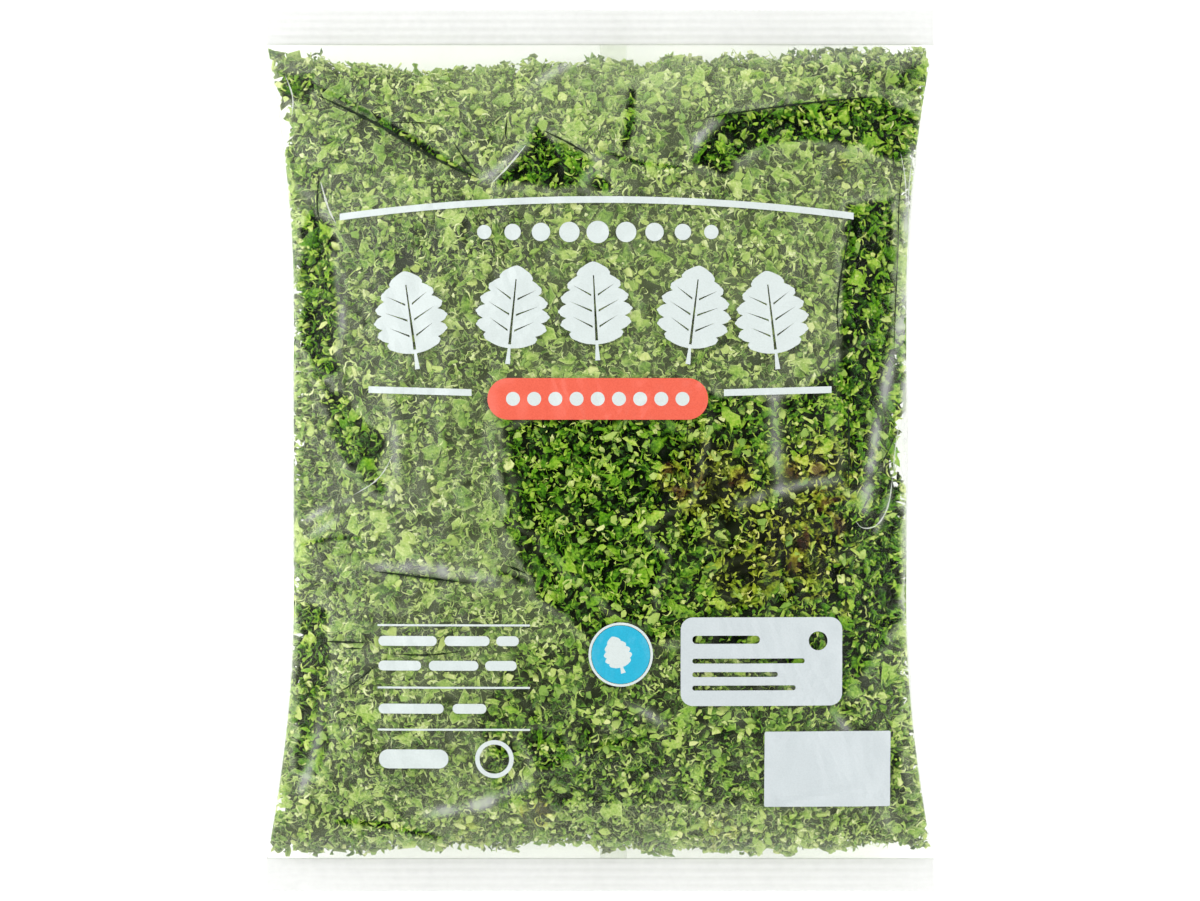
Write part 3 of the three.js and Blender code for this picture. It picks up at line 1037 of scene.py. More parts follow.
@dataclass(frozen=True)
class Ink:
    """Gravure ink laid on film: opaque and even, glossy like the film, a little mottled up close."""

    name: str
    colour: str
    mottled: str
    dot_mm: float = 0.6

    def build(self) -> Material:
        """Builds the material."""
        material, tree = new_material(self.name)
        place = add(tree, "ShaderNodeTexCoord").outputs["Object"]
        dots = add(
            tree, "ShaderNodeTexNoise",
            {"Vector": place, "Scale": 1.0 / (self.dot_mm * MM), "Detail": 1.0},
        ).outputs["Fac"]
        colour = ramp(tree, dots, ((0.35, self.mottled), (0.6, self.colour)))
        body = add(
            tree, "ShaderNodeBsdfPrincipled", {"Base Color": colour, "Roughness": 0.36, "IOR": 1.45}
        ).outputs["BSDF"]
        add(tree, "ShaderNodeOutputMaterial", {"Surface": body})
        return material


class Slot(Enum):
    """The record's material slots."""

    FILM = "film"
    KALE = "kale"
    STEM = "kale_stem"
    WHITE = "print_white"
    CORAL = "print_coral"
    BLUE = "print_blue"


PANEL_INK = Ink("pale_grey_gravure_ink", "#C0C8CA", "#BBC3C5")
INKS = {
    Slot.WHITE: Ink("white_gravure_ink", "#CBD4D2", "#C6CFCC"),
    Slot.CORAL: Ink("coral_gravure_ink", "#DF634D", "#D85A45"),
    Slot.BLUE: Ink("sky_blue_gravure_ink", "#26A9C8", "#22A1C0"),
}


def dress(piece: Piece, finish: Material, node: str) -> None:
    """Gives a piece its finish and its place in the frame.

    Args:
        piece: The finished piece.
        finish: Its material.
        node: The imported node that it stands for.
    """
    piece.data.materials.clear()
    piece.data.materials.append(finish)
    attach(piece, "root")
    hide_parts(node)
    log.info("%s: %d faces", piece.name, len(piece.data.polygons))


# Film


@dataclass
class FilmBag:
    """The tube of film: its filled body, its two crimped end seals and the fin down its back."""

    bag: Bag
    front_columns: int = 230
    back_columns: int = 60
    rows: int = 288
    seal_columns: int = 460
    rib_pitch: float = 3.5
    rib_height: float = 0.09
    tooth_pitch: float = 2.6
    tooth_depth: float = 0.5
    seal_step: float = 0.5
    fin_width: float = 12.0
    fin_thickness: float = 0.35
    fin_off: float = 0.12
    fin_short: float = 0.6
    pleat_over: tuple[float, float] = (0.17, 0.07)

    def build(self) -> None:
        """Builds and dresses every piece of the film."""
        clear = ClearFilm().build()
        welded = WeldedFilm().build()
        # Thin lines of painted shade and painted highlight for the sharp pleats.
        shaded = PinchedFilm("shaded_film_pleat", "#0C1F06", 0.72).build()
        shining = PinchedFilm("shining_film_pleat", "#E4E9E0", 0.5).build()
        form = self.bag.form
        half = form.length / 2.0
        for piece, finish in (
            (self.body(), clear), (self.seal("top_seal", form.top_line, half), welded),
            (self.seal("bottom_seal", form.bottom_line, -half), welded), (self.fin(), clear),
            (self.pleats("dark_pleats", DARK_PLEATS), shaded),
            (self.pleats("bright_pleats", BRIGHT_PLEATS), shining),
        ):
            dress(piece, finish, "film_bag")

    def places_along(self) -> Array:
        """Places of the body's rings, closer together near the seals."""
        form = self.bag.form
        middle = (form.top_line + form.bottom_line) / 2.0
        half = (form.top_line - form.bottom_line) / 2.0
        along = np.linspace(-1.0, 1.0, self.rows)
        return middle + half * (0.8 * along + 0.2 * np.sin(np.pi * along / 2.0))

    def body(self) -> Piece:
        """Builds the filled part as one closed shell."""
        bag, form = self.bag, self.bag.form
        turns = np.linspace(0.0, 1.0, self.front_columns)
        front = 0.45 * np.cos(np.pi * turns) + 0.55 * (1.0 - 2.0 * turns)
        back = np.linspace(-1.0, 1.0, self.back_columns + 2)[1:-1]
        back = 0.6 * back + 0.4 * np.sin(np.pi * back / 2.0)
        rings = []
        marks: dict[str, list[Array]] = {"cling": [], "haze_and_painted_highlight": [], "mist": []}
        for y in self.places_along():
            level = np.full_like(front, y)
            x, z = form.front(front, level)
            z = z + bag.folded(front, x, level)
            under = np.full_like(back, y)
            back_x, back_z = form.back(back, under)
            back_z = back_z + bag.back_lift(back_x, under)
            x = x + np.sign(x) * np.abs(front) ** 8 * bag.outline_shift(level)
            rings.append(
                np.column_stack((np.r_[x, back_x], np.full(len(x) + len(back_x), y), np.r_[z, back_z]))
            )
            for name, values in marks.items():
                rule = getattr(bag, name)
                beyond = np.full(len(back_x), 0.6 if name == "mist" else 0.0)
                values.append(np.r_[rule(x, level), beyond])
        points = np.concatenate(rings)
        made = mesh_object("film_body", points, ring_faces(len(rings), len(rings[0])))
        for name, values in marks.items():
            set_attribute(made, name, np.concatenate(values))
        smooth(made)
        return made

    def seal(self, name: str, inner: float, outer: float) -> Piece:
        """Builds one end seal: a closed strip with ribs across it and a toothed cut edge.

        Args:
            name: The piece's name.
            inner: Place along the bag where the seal meets the filled part.
            outer: Place of its cut edge.

        Returns:
            The strip.
        """
        bag, form = self.bag, self.bag.form
        rows = int(abs(outer - inner) / self.seal_step) + 1
        share = np.linspace(0.0, 1.0, rows)
        across = np.linspace(-1.0, 1.0, self.seal_columns)
        s, v = np.meshgrid(across, share)
        x = s * form.flat_width / 2.0
        tooth = np.abs((x / self.tooth_pitch) % 1.0 - 0.5) * 2.0
        y = mix(inner, outer - math.copysign(self.tooth_depth, outer - inner) * tooth, v)
        x = x + np.sign(x) * (np.abs(s) ** 60) * bag.edge_wave(x * 0.0 + 9.0, y) * 0.6
        rib = np.sin(2.0 * np.pi * (y - inner) / self.rib_pitch)
        pressed = ease(v, 0.0, 0.1) * (1.0 - 0.8 * ease(v, 0.9, 1.0))
        level = form.seal_rest + bag.seal_lift(x, y)
        level = level + self.rib_height * rib * pressed
        grid_top = np.stack((x, y, level + form.ply), -1)
        grid_low = np.stack((x, y, level - form.ply), -1)
        return closed_sheet(name, grid_top, grid_low, flip=outer < inner)

    def pleats(self, name: str, lines: Sequence[tuple[Outline, float]]) -> Piece:
        """Builds the sharp pleats of the film as thin strips that narrow to both ends.

        Args:
            name: The piece's name.
            lines: Each pleat's path and its width in the middle, in mm.

        Returns:
            All the pleats as one piece.
        """
        points, faces, start = [], [], 0
        for path, width in lines:
            corners = np.asarray(path, float)
            for _ in range(2):
                cuts = [mix(corners[:-1], corners[1:], share) for share in (0.25, 0.75)]
                between = np.stack(cuts, 1).reshape(-1, 2)
                corners = np.concatenate((corners[:1], between, corners[-1:]))
            run = np.r_[0.0, np.cumsum(np.hypot(*np.diff(corners, axis=0).T))]
            steps = max(6, int(run[-1] / 1.2))
            place = np.linspace(0.0, run[-1], steps)
            x, y = (np.interp(place, run, corners[:, k]) for k in (0, 1))
            ways = np.gradient(np.column_stack((x, y)), axis=0)
            ways = ways / np.hypot(*ways.T)[:, None]
            narrowing = 0.12 + 0.88 * np.abs(np.sin(np.pi * place / run[-1])) ** 0.7
            uneven = 1.0 + 0.3 * np.sin(0.9 * place + start)
            half = 0.5 * width * narrowing * uneven
            across = np.array([-1.0, 0.0, 1.0])
            xs = x[:, None] + across * (half * ways[:, 1])[:, None]
            ys = y[:, None] - across * (half * ways[:, 0])[:, None]
            level = self.bag.front_z(xs, ys)
            for lift in self.pleat_over:
                points.append(np.stack((xs, ys, level + lift), -1).reshape(-1, 3))
            faces += [tuple(start + i for i in face) for face in sheet_faces(steps, 3)]
            start += 6 * steps
        made = mesh_object(name, np.concatenate(points), faces)
        smooth(made)
        return made

    def fin(self) -> Piece:
        """Builds the fin: the film's edges welded together and folded flat against the back."""
        bag, form = self.bag, self.bag.form
        half = form.length / 2.0
        y = np.linspace(-half + self.fin_short, half - self.fin_short, 220)
        x = np.linspace(0.0, self.fin_width, 13)
        xs, ys = np.meshgrid(x, y)
        inside = np.clip(ys, form.bottom_line, form.top_line)
        under = form.back(xs / form.half_width(inside), inside)[1]
        under = under + bag.back_lift(xs, inside)
        ribs = 0.12 * np.sin(2.0 * np.pi * xs / 2.0)
        top = np.stack((xs, ys, under - self.fin_off + ribs * 0.3), -1)
        low = np.stack((xs, ys, under - self.fin_off - self.fin_thickness + ribs), -1)
        made = closed_sheet("fin_seal", top, low)
        for name, value in (("cling", 0.0), ("haze_and_painted_highlight", 0.0), ("mist", 1.0)):
            set_attribute(made, name, np.full(len(made.data.vertices), value))
        return made


# Kale


class Side(Enum):
    """The two sides of the bag."""

    FRONT = 1
    BACK = -1


class Cut(Enum):
    """The forms that the knife leaves."""

    FLAKE = "flake"
    FRILL = "frill"
    CURL = "curl"
    CRUMB = "crumb"
    CHIP = "chip"


def around(random: np.random.Generator, corners: int, uneven: float) -> Array:
    """Directions of a cut piece's corners about its middle, unevenly spaced."""
    return 2.0 * np.pi * (np.arange(corners) + random.uniform(-uneven, uneven, corners)) / corners


@dataclass
class CutPieces:
    """Small sets of cut pieces, 1 long, that the heap repeats. Each is closed, with few faces."""

    seed: int = 31
    variants: int = 10
    sets: dict[Cut, bpy.types.Collection] = field(default_factory=dict)

    def build(self) -> None:
        """Builds every set."""
        random = np.random.default_rng(self.seed)
        makers = {
            Cut.FLAKE: self.flake, Cut.FRILL: self.frill, Cut.CURL: self.curl, Cut.CRUMB: self.crumb,
            Cut.CHIP: self.chip,
        }
        for cut, maker in makers.items():
            made = bpy.data.collections.new(f"{cut.value}_set")
            for number in range(self.variants):
                points, faces, rims = maker(random)
                piece = mesh_object(f"{cut.value}_{number}", np.asarray(points) / MM, faces)
                set_attribute(piece, "rim", rims)
                bpy.context.scene.collection.objects.unlink(piece)
                made.objects.link(piece)
            self.sets[cut] = made

    def clear(self) -> None:
        """Removes the sets once the heap is made."""
        for made in self.sets.values():
            for piece in list(made.objects):
                bpy.data.meshes.remove(piece.data)
            bpy.data.collections.remove(made)
        self.sets = {}

    @staticmethod
    def flake(random: np.random.Generator) -> Solid:
        """A shred of leaf with a ragged, ruffled rim and a raised middle."""
        corners = 9
        turn = around(random, corners, 0.35)
        reach = random.uniform(0.2, 0.58, corners)
        narrow = random.uniform(0.35, 0.9)
        curl = random.uniform(-0.16, 0.2)
        ruffle = random.uniform(0.05, 0.17)
        phase = random.uniform(0.0, 2.0 * np.pi)
        x, y = reach * np.cos(turn), narrow * reach * np.sin(turn)
        z = curl * (2.0 * reach) ** 2 + ruffle * np.sin(3.0 * turn + phase)
        z = z + random.uniform(-0.03, 0.03, corners)
        middle = 0.55
        lift = random.uniform(0.04, 0.09, corners)
        points = [(0.0, 0.0, 0.05), (0.0, 0.0, -0.02)]
        points += [(0.97 * a, 0.97 * b, c) for a, b, c in zip(x, y, z)]
        points += [(middle * a, middle * b, middle * c + d) for a, b, c, d in zip(x, y, z, lift)]
        faces = []
        for i in range(corners):
            a, b = 2 + i, 2 + (i + 1) % corners
            faces += [(0, a + corners, b + corners), (1, b, a)]
            faces += [(a + corners, a, b), (a + corners, b, b + corners)]
        rims = [0.15, 0.2] + [1.0] * corners + [0.0] * corners
        return points, faces, rims

    @staticmethod
    def frill(random: np.random.Generator) -> Solid:
        """A cut strip of the curly margin: a thicker root line and a waved thin edge."""
        columns = 7
        bend = random.uniform(-1.6, 1.6)
        width = random.uniform(0.12, 0.32)
        waves = random.uniform(1.3, 2.4)
        height = random.uniform(0.1, 0.24)
        phase = random.uniform(0.0, 2.0 * np.pi)
        points, rims = [], []
        for i in range(columns):
            along = i / (columns - 1) - 0.5
            turn = bend * along
            x = math.sin(turn) / bend if abs(bend) > 0.05 else along
            y = (1.0 - math.cos(turn)) / bend if abs(bend) > 0.05 else 0.0
            end = 1.0 - 0.6 * abs(2.0 * along) ** 3
            wide = width * end * random.uniform(0.8, 1.15)
            wave = height * math.sin(2.0 * np.pi * waves * along + phase)
            out_x, out_y = -math.sin(turn), math.cos(turn)
            points.append((x, y, -0.02))
            points.append((x + 0.45 * wide * out_x, y + 0.45 * wide * out_y, 0.07 + 0.3 * wave))
            points.append((x + wide * out_x, y + wide * out_y, 0.03 + wave))
            rims += [0.35, 0.0, 1.0]
        faces = [(0, 1, 2), (3 * columns - 3, 3 * columns - 1, 3 * columns - 2)]
        for i in range(columns - 1):
            for k in range(3):
                a, b = 3 * i + k, 3 * i + (k + 1) % 3
                faces.append((a, a + 3, b + 3, b))
        return points, faces, rims

    @staticmethod
    def curl(random: np.random.Generator) -> Solid:
        """A thread cut from the very rim of the leaf, thin and strongly bent."""
        columns = 8
        bend = random.uniform(1.2, 4.6) * random.choice((-1.0, 1.0))
        kink = random.uniform(-0.14, 0.14, columns)
        rise = random.uniform(0.0, 0.2)
        phase = random.uniform(0.0, 2.0 * np.pi)
        thick = random.uniform(0.025, 0.05)
        points = []
        for i in range(columns):
            along = i / (columns - 1) - 0.5
            turn = bend * along
            x = math.sin(turn) / bend + 0.3 * thick * kink[i]
            y = (1.0 - math.cos(turn)) / bend + 0.35 * kink[i]
            z = rise * math.sin(2.0 * np.pi * along + phase)
            wide = thick * (1.15 - abs(2.0 * along) ** 2)
            out_x, out_y = -wide * math.sin(turn), wide * math.cos(turn)
            points.append((x - out_x, y - out_y, z))
            points.append((x + out_x, y + out_y, z))
            points.append((x, y, z + 1.6 * wide))
        faces = [(0, 2, 1), (3 * columns - 3, 3 * columns - 2, 3 * columns - 1)]
        for i in range(columns - 1):
            for k in range(3):
                a, b = 3 * i + k, 3 * i + (k + 1) % 3
                faces.append((a, b, b + 3, a + 3))
        return points, faces, [0.9] * (3 * columns)

    @staticmethod
    def crumb(random: np.random.Generator) -> Solid:
        """A small bit of leaf."""
        corners = 6
        turn = around(random, corners, 0.3)
        reach = random.uniform(0.28, 0.55, corners)
        narrow = random.uniform(0.45, 0.95)
        wave = random.uniform(-0.13, 0.13, corners)
        points = [(0.0, 0.0, random.uniform(0.06, 0.14)), (0.0, 0.0, -0.03)]
        points += [(r * math.cos(t), narrow * r * math.sin(t), w) for r, t, w in zip(reach, turn, wave)]
        faces = []
        for i in range(corners):
            a, b = 2 + i, 2 + (i + 1) % corners
            faces += [(0, a, b), (1, b, a)]
        return points, faces, [0.0, 0.2] + [1.0] * corners

    @staticmethod
    def chip(random: np.random.Generator) -> Solid:
        """A slice of midrib, cut square or slanting."""
        corners = 5 + int(random.integers(0, 2))
        turn = around(random, corners, 0.28)
        long, wide = 0.55, random.uniform(0.2, 0.5)
        deep = random.uniform(0.09, 0.17)
        reach = random.uniform(0.75, 1.1, corners)
        x, y = long * reach * np.cos(turn), wide * reach * np.sin(turn)
        points = [(0.9 * a, 0.9 * b, deep) for a, b in zip(x, y)]
        points += [(a, b, 0.2 * deep) for a, b in zip(x, y)]
        points += [(0.85 * a, 0.85 * b, -deep) for a, b in zip(x, y)]
        faces = [tuple(range(corners)), tuple(reversed(range(2 * corners, 3 * corners)))]
        for ring in range(2):
            for i in range(corners):
                a, b = ring * corners + i, ring * corners + (i + 1) % corners
                faces.append((a + corners, b + corners, b, a))
        return points, faces, [0.0] * (3 * corners)


@dataclass(frozen=True)
class Layer:
    """One layer of cut pieces over the heap. Sizes are in mm, and density in pieces per 100 mm2."""

    name: str
    cut: Cut
    side: Side
    density: float
    size: tuple[float, float]
    sink: tuple[float, float]
    tilt: float
    tint: tuple[float, float]
    seed: int


# The under leaves take lower tints than the layers over them: painted shade for the depth they lie at.
LAYERS = (
    Layer("under_leaf", Cut.FLAKE, Side.FRONT, 3.6, (8.0, 13.0), (2.2, 5.0), 0.6, (0.0, 0.5), 11),
    Layer("leaf_a", Cut.FLAKE, Side.FRONT, 4.6, (4.0, 9.0), (0.4, 3.4), 0.8, (0.05, 0.95), 12),
    Layer("large_leaf", Cut.FLAKE, Side.FRONT, 0.55, (9.0, 15.0), (0.3, 2.0), 0.4, (0.3, 0.75), 22),
    Layer("frill_a", Cut.FRILL, Side.FRONT, 3.6, (4.5, 9.0), (0.4, 3.4), 1.1, (0.1, 0.9), 13),
    Layer("frill_b", Cut.FRILL, Side.FRONT, 3.4, (3.5, 7.5), (0.0, 2.2), 1.0, (0.05, 0.85), 14),
    Layer("curl_a", Cut.CURL, Side.FRONT, 3.2, (4.0, 9.0), (0.0, 1.8), 0.7, (0.35, 1.0), 21),
    Layer("crumb_a", Cut.CRUMB, Side.FRONT, 7.0, (1.6, 3.8), (0.0, 1.6), 0.9, (0.1, 1.0), 15),
    Layer("chip_a", Cut.CHIP, Side.FRONT, 1.5, (2.4, 7.2), (0.1, 2.4), 0.7, (0.0, 0.85), 16),
    Layer("under_leaf_back", Cut.FLAKE, Side.BACK, 2.2, (8.0, 13.0), (1.4, 4.0), 0.6, (0.0, 0.5), 17),
    Layer("leaf_back", Cut.FLAKE, Side.BACK, 2.8, (4.5, 9.5), (0.2, 2.8), 0.7, (0.05, 0.95), 18),
    Layer("frill_back", Cut.FRILL, Side.BACK, 2.2, (4.5, 9.0), (0.2, 2.8), 1.0, (0.1, 0.9), 19),
    Layer("chip_back", Cut.CHIP, Side.BACK, 1.0, (2.4, 6.0), (0.1, 2.0), 0.6, (0.0, 0.9), 20),
)


class ScatterTree:
    """The node tree that strews cut pieces over a sheet, sunk, tilted and turned by chance."""

    NUMBERS = (
        ("Density", 0.0), ("Least size", 0.004), ("Largest size", 0.008), ("Least sink", 0.0),
        ("Deepest sink", 0.002), ("Tilt", 0.5), ("Least tint", 0.0), ("Largest tint", 1.0),
    )

    def __init__(self) -> None:
        """Builds the tree with its named inputs."""
        self.tree = bpy.data.node_groups.new("strew_cut_kale", "GeometryNodeTree")
        face = self.tree.interface
        face.new_socket("Sheet", in_out="INPUT", socket_type="NodeSocketGeometry")
        self.ids = {}
        for name, value in self.NUMBERS:
            socket = face.new_socket(name, in_out="INPUT", socket_type="NodeSocketFloat")
            socket.default_value = value
            self.ids[name] = socket.identifier
        for name, kind in (
            ("Seed", "NodeSocketInt"), ("Pieces", "NodeSocketCollection"),
            ("Finish", "NodeSocketMaterial"),
        ):
            socket = face.new_socket(name, in_out="INPUT", socket_type=kind)
            self.ids[name] = socket.identifier
        face.new_socket("Heap", in_out="OUTPUT", socket_type="NodeSocketGeometry")
        self.link()

    def chance(self, given: dict[str, Socket], low: object, high: object, step: int) -> Socket:
        """A random number for each point, with a seed a few steps on from the tree's.

        Args:
            given: The tree's inputs.
            low: Least value or output.
            high: Largest value or output.
            step: How many steps on the seed is.

        Returns:
            The number's output.
        """
        seed = add(
            self.tree, "ShaderNodeMath", {0: given["Seed"], 1: float(step)}, operation="ADD"
        ).outputs[0]
        return add(
            self.tree, "FunctionNodeRandomValue", {2: low, 3: high, 8: seed}, data_type="FLOAT"
        ).outputs[1]

    def link(self) -> None:
        """Adds the nodes and their links."""
        tree = self.tree
        given = add(tree, "NodeGroupInput").outputs
        strewn = add(
            tree, "GeometryNodeDistributePointsOnFaces",
            {"Mesh": given["Sheet"], "Density": given["Density"], "Seed": given["Seed"]},
        )
        sink = self.chance(given, given["Least sink"], given["Deepest sink"], 100)
        inward = add(tree, "ShaderNodeMath", {0: sink, 1: -1.0}, operation="MULTIPLY").outputs[0]
        offset = add(
            tree, "ShaderNodeVectorMath", {"Vector": strewn.outputs["Normal"], "Scale": inward},
            operation="SCALE",
        ).outputs[0]
        sunk = add(
            tree, "GeometryNodeSetPosition", {"Geometry": strewn.outputs["Points"], "Offset": offset}
        ).outputs[0]
        lean = add(tree, "ShaderNodeMath", {0: given["Tilt"], 1: -1.0}, operation="MULTIPLY").outputs[0]
        turn = add(
            tree,
            "ShaderNodeCombineXYZ",
            {
                "X": self.chance(given, lean, given["Tilt"], 200),
                "Y": self.chance(given, lean, given["Tilt"], 300),
                "Z": self.chance(given, 0.0, 2.0 * math.pi, 400),
            },
        ).outputs[0]
        euler = add(tree, "FunctionNodeEulerToRotation", {0: turn}).outputs[0]
        turned = add(
            tree, "FunctionNodeRotateRotation", {0: strewn.outputs["Rotation"], 1: euler},
            rotation_space="LOCAL",
        ).outputs[0]
        size = self.chance(given, given["Least size"], given["Largest size"], 500)
        pieces = add(tree, "GeometryNodeCollectionInfo", {"Collection": given["Pieces"]})
        pieces.inputs["Separate Children"].default_value = True
        pieces.inputs["Reset Children"].default_value = True
        laid = add(
            tree,
            "GeometryNodeInstanceOnPoints",
            {
                "Points": sunk, "Instance": pieces.outputs[0], "Pick Instance": True,
                "Rotation": turned, "Scale": size,
            },
        ).outputs[0]
        tint = self.chance(given, given["Least tint"], given["Largest tint"], 600)
        tinted = add(
            tree, "GeometryNodeStoreNamedAttribute", {"Geometry": laid, "Name": "tint", "Value": tint},
            data_type="FLOAT", domain="INSTANCE",
        ).outputs[0]
        real = add(tree, "GeometryNodeRealizeInstances", {"Geometry": tinted}).outputs[0]
        dressed = add(
            tree, "GeometryNodeSetMaterial", {"Geometry": real, "Material": given["Finish"]}
        ).outputs[0]
        add(tree, "NodeGroupOutput", {"Heap": dressed})


@dataclass
class KaleHeap:
    """The heap of finely cut kale: a packed core, tinted dark as painted shade for the gaps, under layers
    of strewn cut pieces.
    """

    bag: Bag
    gap: float = 0.3
    skin: float = 1.0
    core_depth: float = 4.4
    core_short: float = 6.0
    end_round: float = 8.0
    side_push: float = 2.6
    side_gap: float = 0.03
    side_band: tuple[float, float] = (9.0, 2.0)
    own_depth: float = 0.55
    pressed: float = 0.25
    # How far pieces deep under the film are darkened: painted shade.
    painted_depth_shade: float = 0.44
    side_limit: float = 0.997
    # Where the kale stops short of a side fold: the side, middle and reach along, and how far.
    empties: tuple[tuple[float, float, float, float], ...] = (
        (1.0, 2.0, 15.0, 0.032), (-1.0, 150.0, 20.0, 0.024)
    )
    top_edge: Outline = (
        (-150, 181), (-144, 179), (-110, 175), (-72, 169), (-26, 177), (0, 173),
        (45, 177), (93, 180), (149, 182),
    )
    bottom_edge: Outline = (
        (-150, -182), (-90, -179), (-18, -177), (18, -180), (72, -181), (116, -177), (146, -181),
    )

    def build(self) -> None:
        """Builds and dresses the core and every layer."""
        leaf, stem = CutLeaf().build(), CutStem().build()
        sets = CutPieces()
        sets.build()
        scatter = ScatterTree()
        dress(self.core(), leaf, "cut_kale")
        for layer in LAYERS:
            is_stem = layer.cut is Cut.CHIP
            finish, slot = (stem, Slot.STEM) if is_stem else (leaf, Slot.KALE)
            made = self.strew(layer, scatter, sets.sets[layer.cut], finish)
            dress(made, finish, "cut_kale")
        sets.clear()
        bpy.data.node_groups.remove(scatter.tree)

    def ends(self, x: Array) -> tuple[Array, Array]:
        """Ragged low and high ends of the heap at places across the bag, in mm."""
        ragged = WaveField(9, 30, 1.5, seed=3)
        low = np.interp(x, *np.transpose(self.bottom_edge)) + ragged(x, x * 0.0)
        high = np.interp(x, *np.transpose(self.top_edge)) + ragged(x, x * 0.0 + 50.0)
        form = self.bag.form
        return np.maximum(low, form.bottom_line + 1.5), np.minimum(high, form.top_line - 1.5)

    def shortfall(self, x: Array, y: Array) -> Array:
        """How far the kale stops short of the side folds, as a share of half the bag's width."""
        gaps = (
            width * np.exp(-(((y - middle) / length) ** 2)) * (x * hand > 0.0)
            for hand, middle, length, width in self.empties
        )
        return sum(gaps)

    def from_ends(self, x: Array, y: Array) -> Array:
        """Distance of each point from the nearer end of the heap, in mm."""
        low, high = self.ends(x)
        return np.minimum(y - low, high - y)

    def grid(self, side: Side, inset: float, columns: int, rows: int, short: float = 0.0) -> Array:
        """Points of a sheet under the film, row by row.

        Args:
            side: The side of the bag.
            inset: Depth under the film, in mm.
            columns: Points across.
            rows: Points along.
            short: How far the sheet stops before the heap's ends, in mm.

        Returns:
            The points, rows by columns by 3, in mm.
        """
        bag, form = self.bag, self.bag.form
        along, across = np.meshgrid(
            np.linspace(0.0, 1.0, rows), np.linspace(-1.0, 1.0, columns), indexing="ij"
        )
        low, high = self.ends(across * form.waist_width / 2.0)
        y = mix(low + short, high - short, along)
        ragged = 0.006 * WaveField(12, 40, 1.0, seed=8)(y, across * 40.0)
        limit = self.side_limit + ragged
        share = across * np.minimum(limit - self.shortfall(across, y), 0.999)
        shape = form.front if side is Side.FRONT else form.back
        x, z = shape(share, y, inset)
        if side is Side.FRONT:
            z = z + bag.folded(share, x, y)
            z = np.maximum(z, form.fold_height(y) + 0.2 + bag.seal_lift(x, y))
        else:
            z = np.minimum(z, form.fold_height(y) - 0.2)
        # The heap rounds off towards its two ends, where the film stands clear of it.
        near = np.clip(self.from_ends(across * form.waist_width / 2.0, y) / self.end_round, 0.0, 1.0)
        middle = form.fold_height(y) + bag.seal_lift(x, y)
        z = mix(middle, z, np.sqrt(1.0 - (1.0 - near) ** 2))
        return np.stack((x, y, z), -1)

    def sheet(self, side: Side) -> Piece:
        """Builds the sheet that a layer's pieces are strewn on, its faces outwards."""
        points = self.grid(side, self.skin, 150, 190)
        faces = grid_faces(*points.shape[:2])
        if side is Side.BACK:
            faces = [(a, b, d, c) for a, c, d, b in faces]
        return mesh_object("strewing_sheet", points.reshape(-1, 3), faces)

    def core(self) -> Piece:
        """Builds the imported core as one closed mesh."""
        crumbs = WaveField(4, 9, 0.9, seed=61, waves=18)
        front = self.grid(Side.FRONT, self.core_depth, 130, 160, self.core_short)
        back = self.grid(Side.BACK, self.core_depth, 130, 160, self.core_short)
        for sheet, sign in ((front, -1.0), (back, 1.0)):
            sheet[..., 2] += sign * np.abs(crumbs(sheet[..., 0], sheet[..., 1]))
        mid = self.bag.form.fold_height(front[..., 1]) + self.bag.seal_lift(front[..., 0], front[..., 1])
        front[..., 2] = np.maximum(front[..., 2], mid + 0.3)
        back[..., 2] = np.minimum(back[..., 2], mid - 0.3)
        made = closed_sheet("packed_core", front, back)
        count = len(made.data.vertices)
        random = np.random.default_rng(9)
        # The core's tints are low: painted shade, for the dark gaps between the strewn pieces.
        set_attribute(made, "tint", random.uniform(-0.1, 0.3, count))
        self.mark(made)
        return made

    def strew(
        self, layer: Layer, scatter: ScatterTree, pieces: bpy.types.Collection, finish: Material
    ) -> Piece:
        """Builds one layer.

        Args:
            layer: What is strewn, and how.
            scatter: The tree that strews it.
            pieces: The set of cut pieces.
            finish: Their material.

        Returns:
            The layer as one plain mesh.
        """
        sheet = self.sheet(layer.side)
        modifier = sheet.modifiers.new("strew", "NODES")
        modifier.node_group = scatter.tree
        values = {
            "Density": layer.density / 100.0 / MM**2, "Least size": layer.size[0] * MM,
            "Largest size": layer.size[1] * MM, "Least sink": layer.sink[0] * MM,
            "Deepest sink": layer.sink[1] * MM, "Tilt": layer.tilt, "Least tint": layer.tint[0],
            "Largest tint": layer.tint[1], "Seed": layer.seed, "Pieces": pieces, "Finish": finish,
        }
        for name, value in values.items():
            modifier[scatter.ids[name]] = value
        depsgraph = bpy.context.evaluated_depsgraph_get()
        depsgraph.update()
        mesh = bpy.data.meshes.new_from_object(sheet.evaluated_get(depsgraph))
        mesh.name = layer.name
        sheet.modifiers.clear()
        bpy.data.meshes.remove(sheet.data)
        made = bpy.data.objects.new(layer.name, mesh)
        bpy.context.scene.collection.objects.link(made)
        move_points(made, self.press(points_of(made), get_attribute(made, "tint")))
        self.mark(made)
        return made

    def press(self, points: Array, tint: Array) -> Array:
        """Presses what stands out of the film flat against its inside.

        Args:
            points: The layer's points, in mm.
            tint: Each point's tint, which also sets its piece's own small depth.

        Returns:
            The points inside the film.
        """
        bag, form = self.bag, self.bag.form
        x, y, z = points.T
        y = np.clip(y, form.bottom_line + 0.8, form.top_line - 0.8)
        limit = form.half_width(y) - 0.5
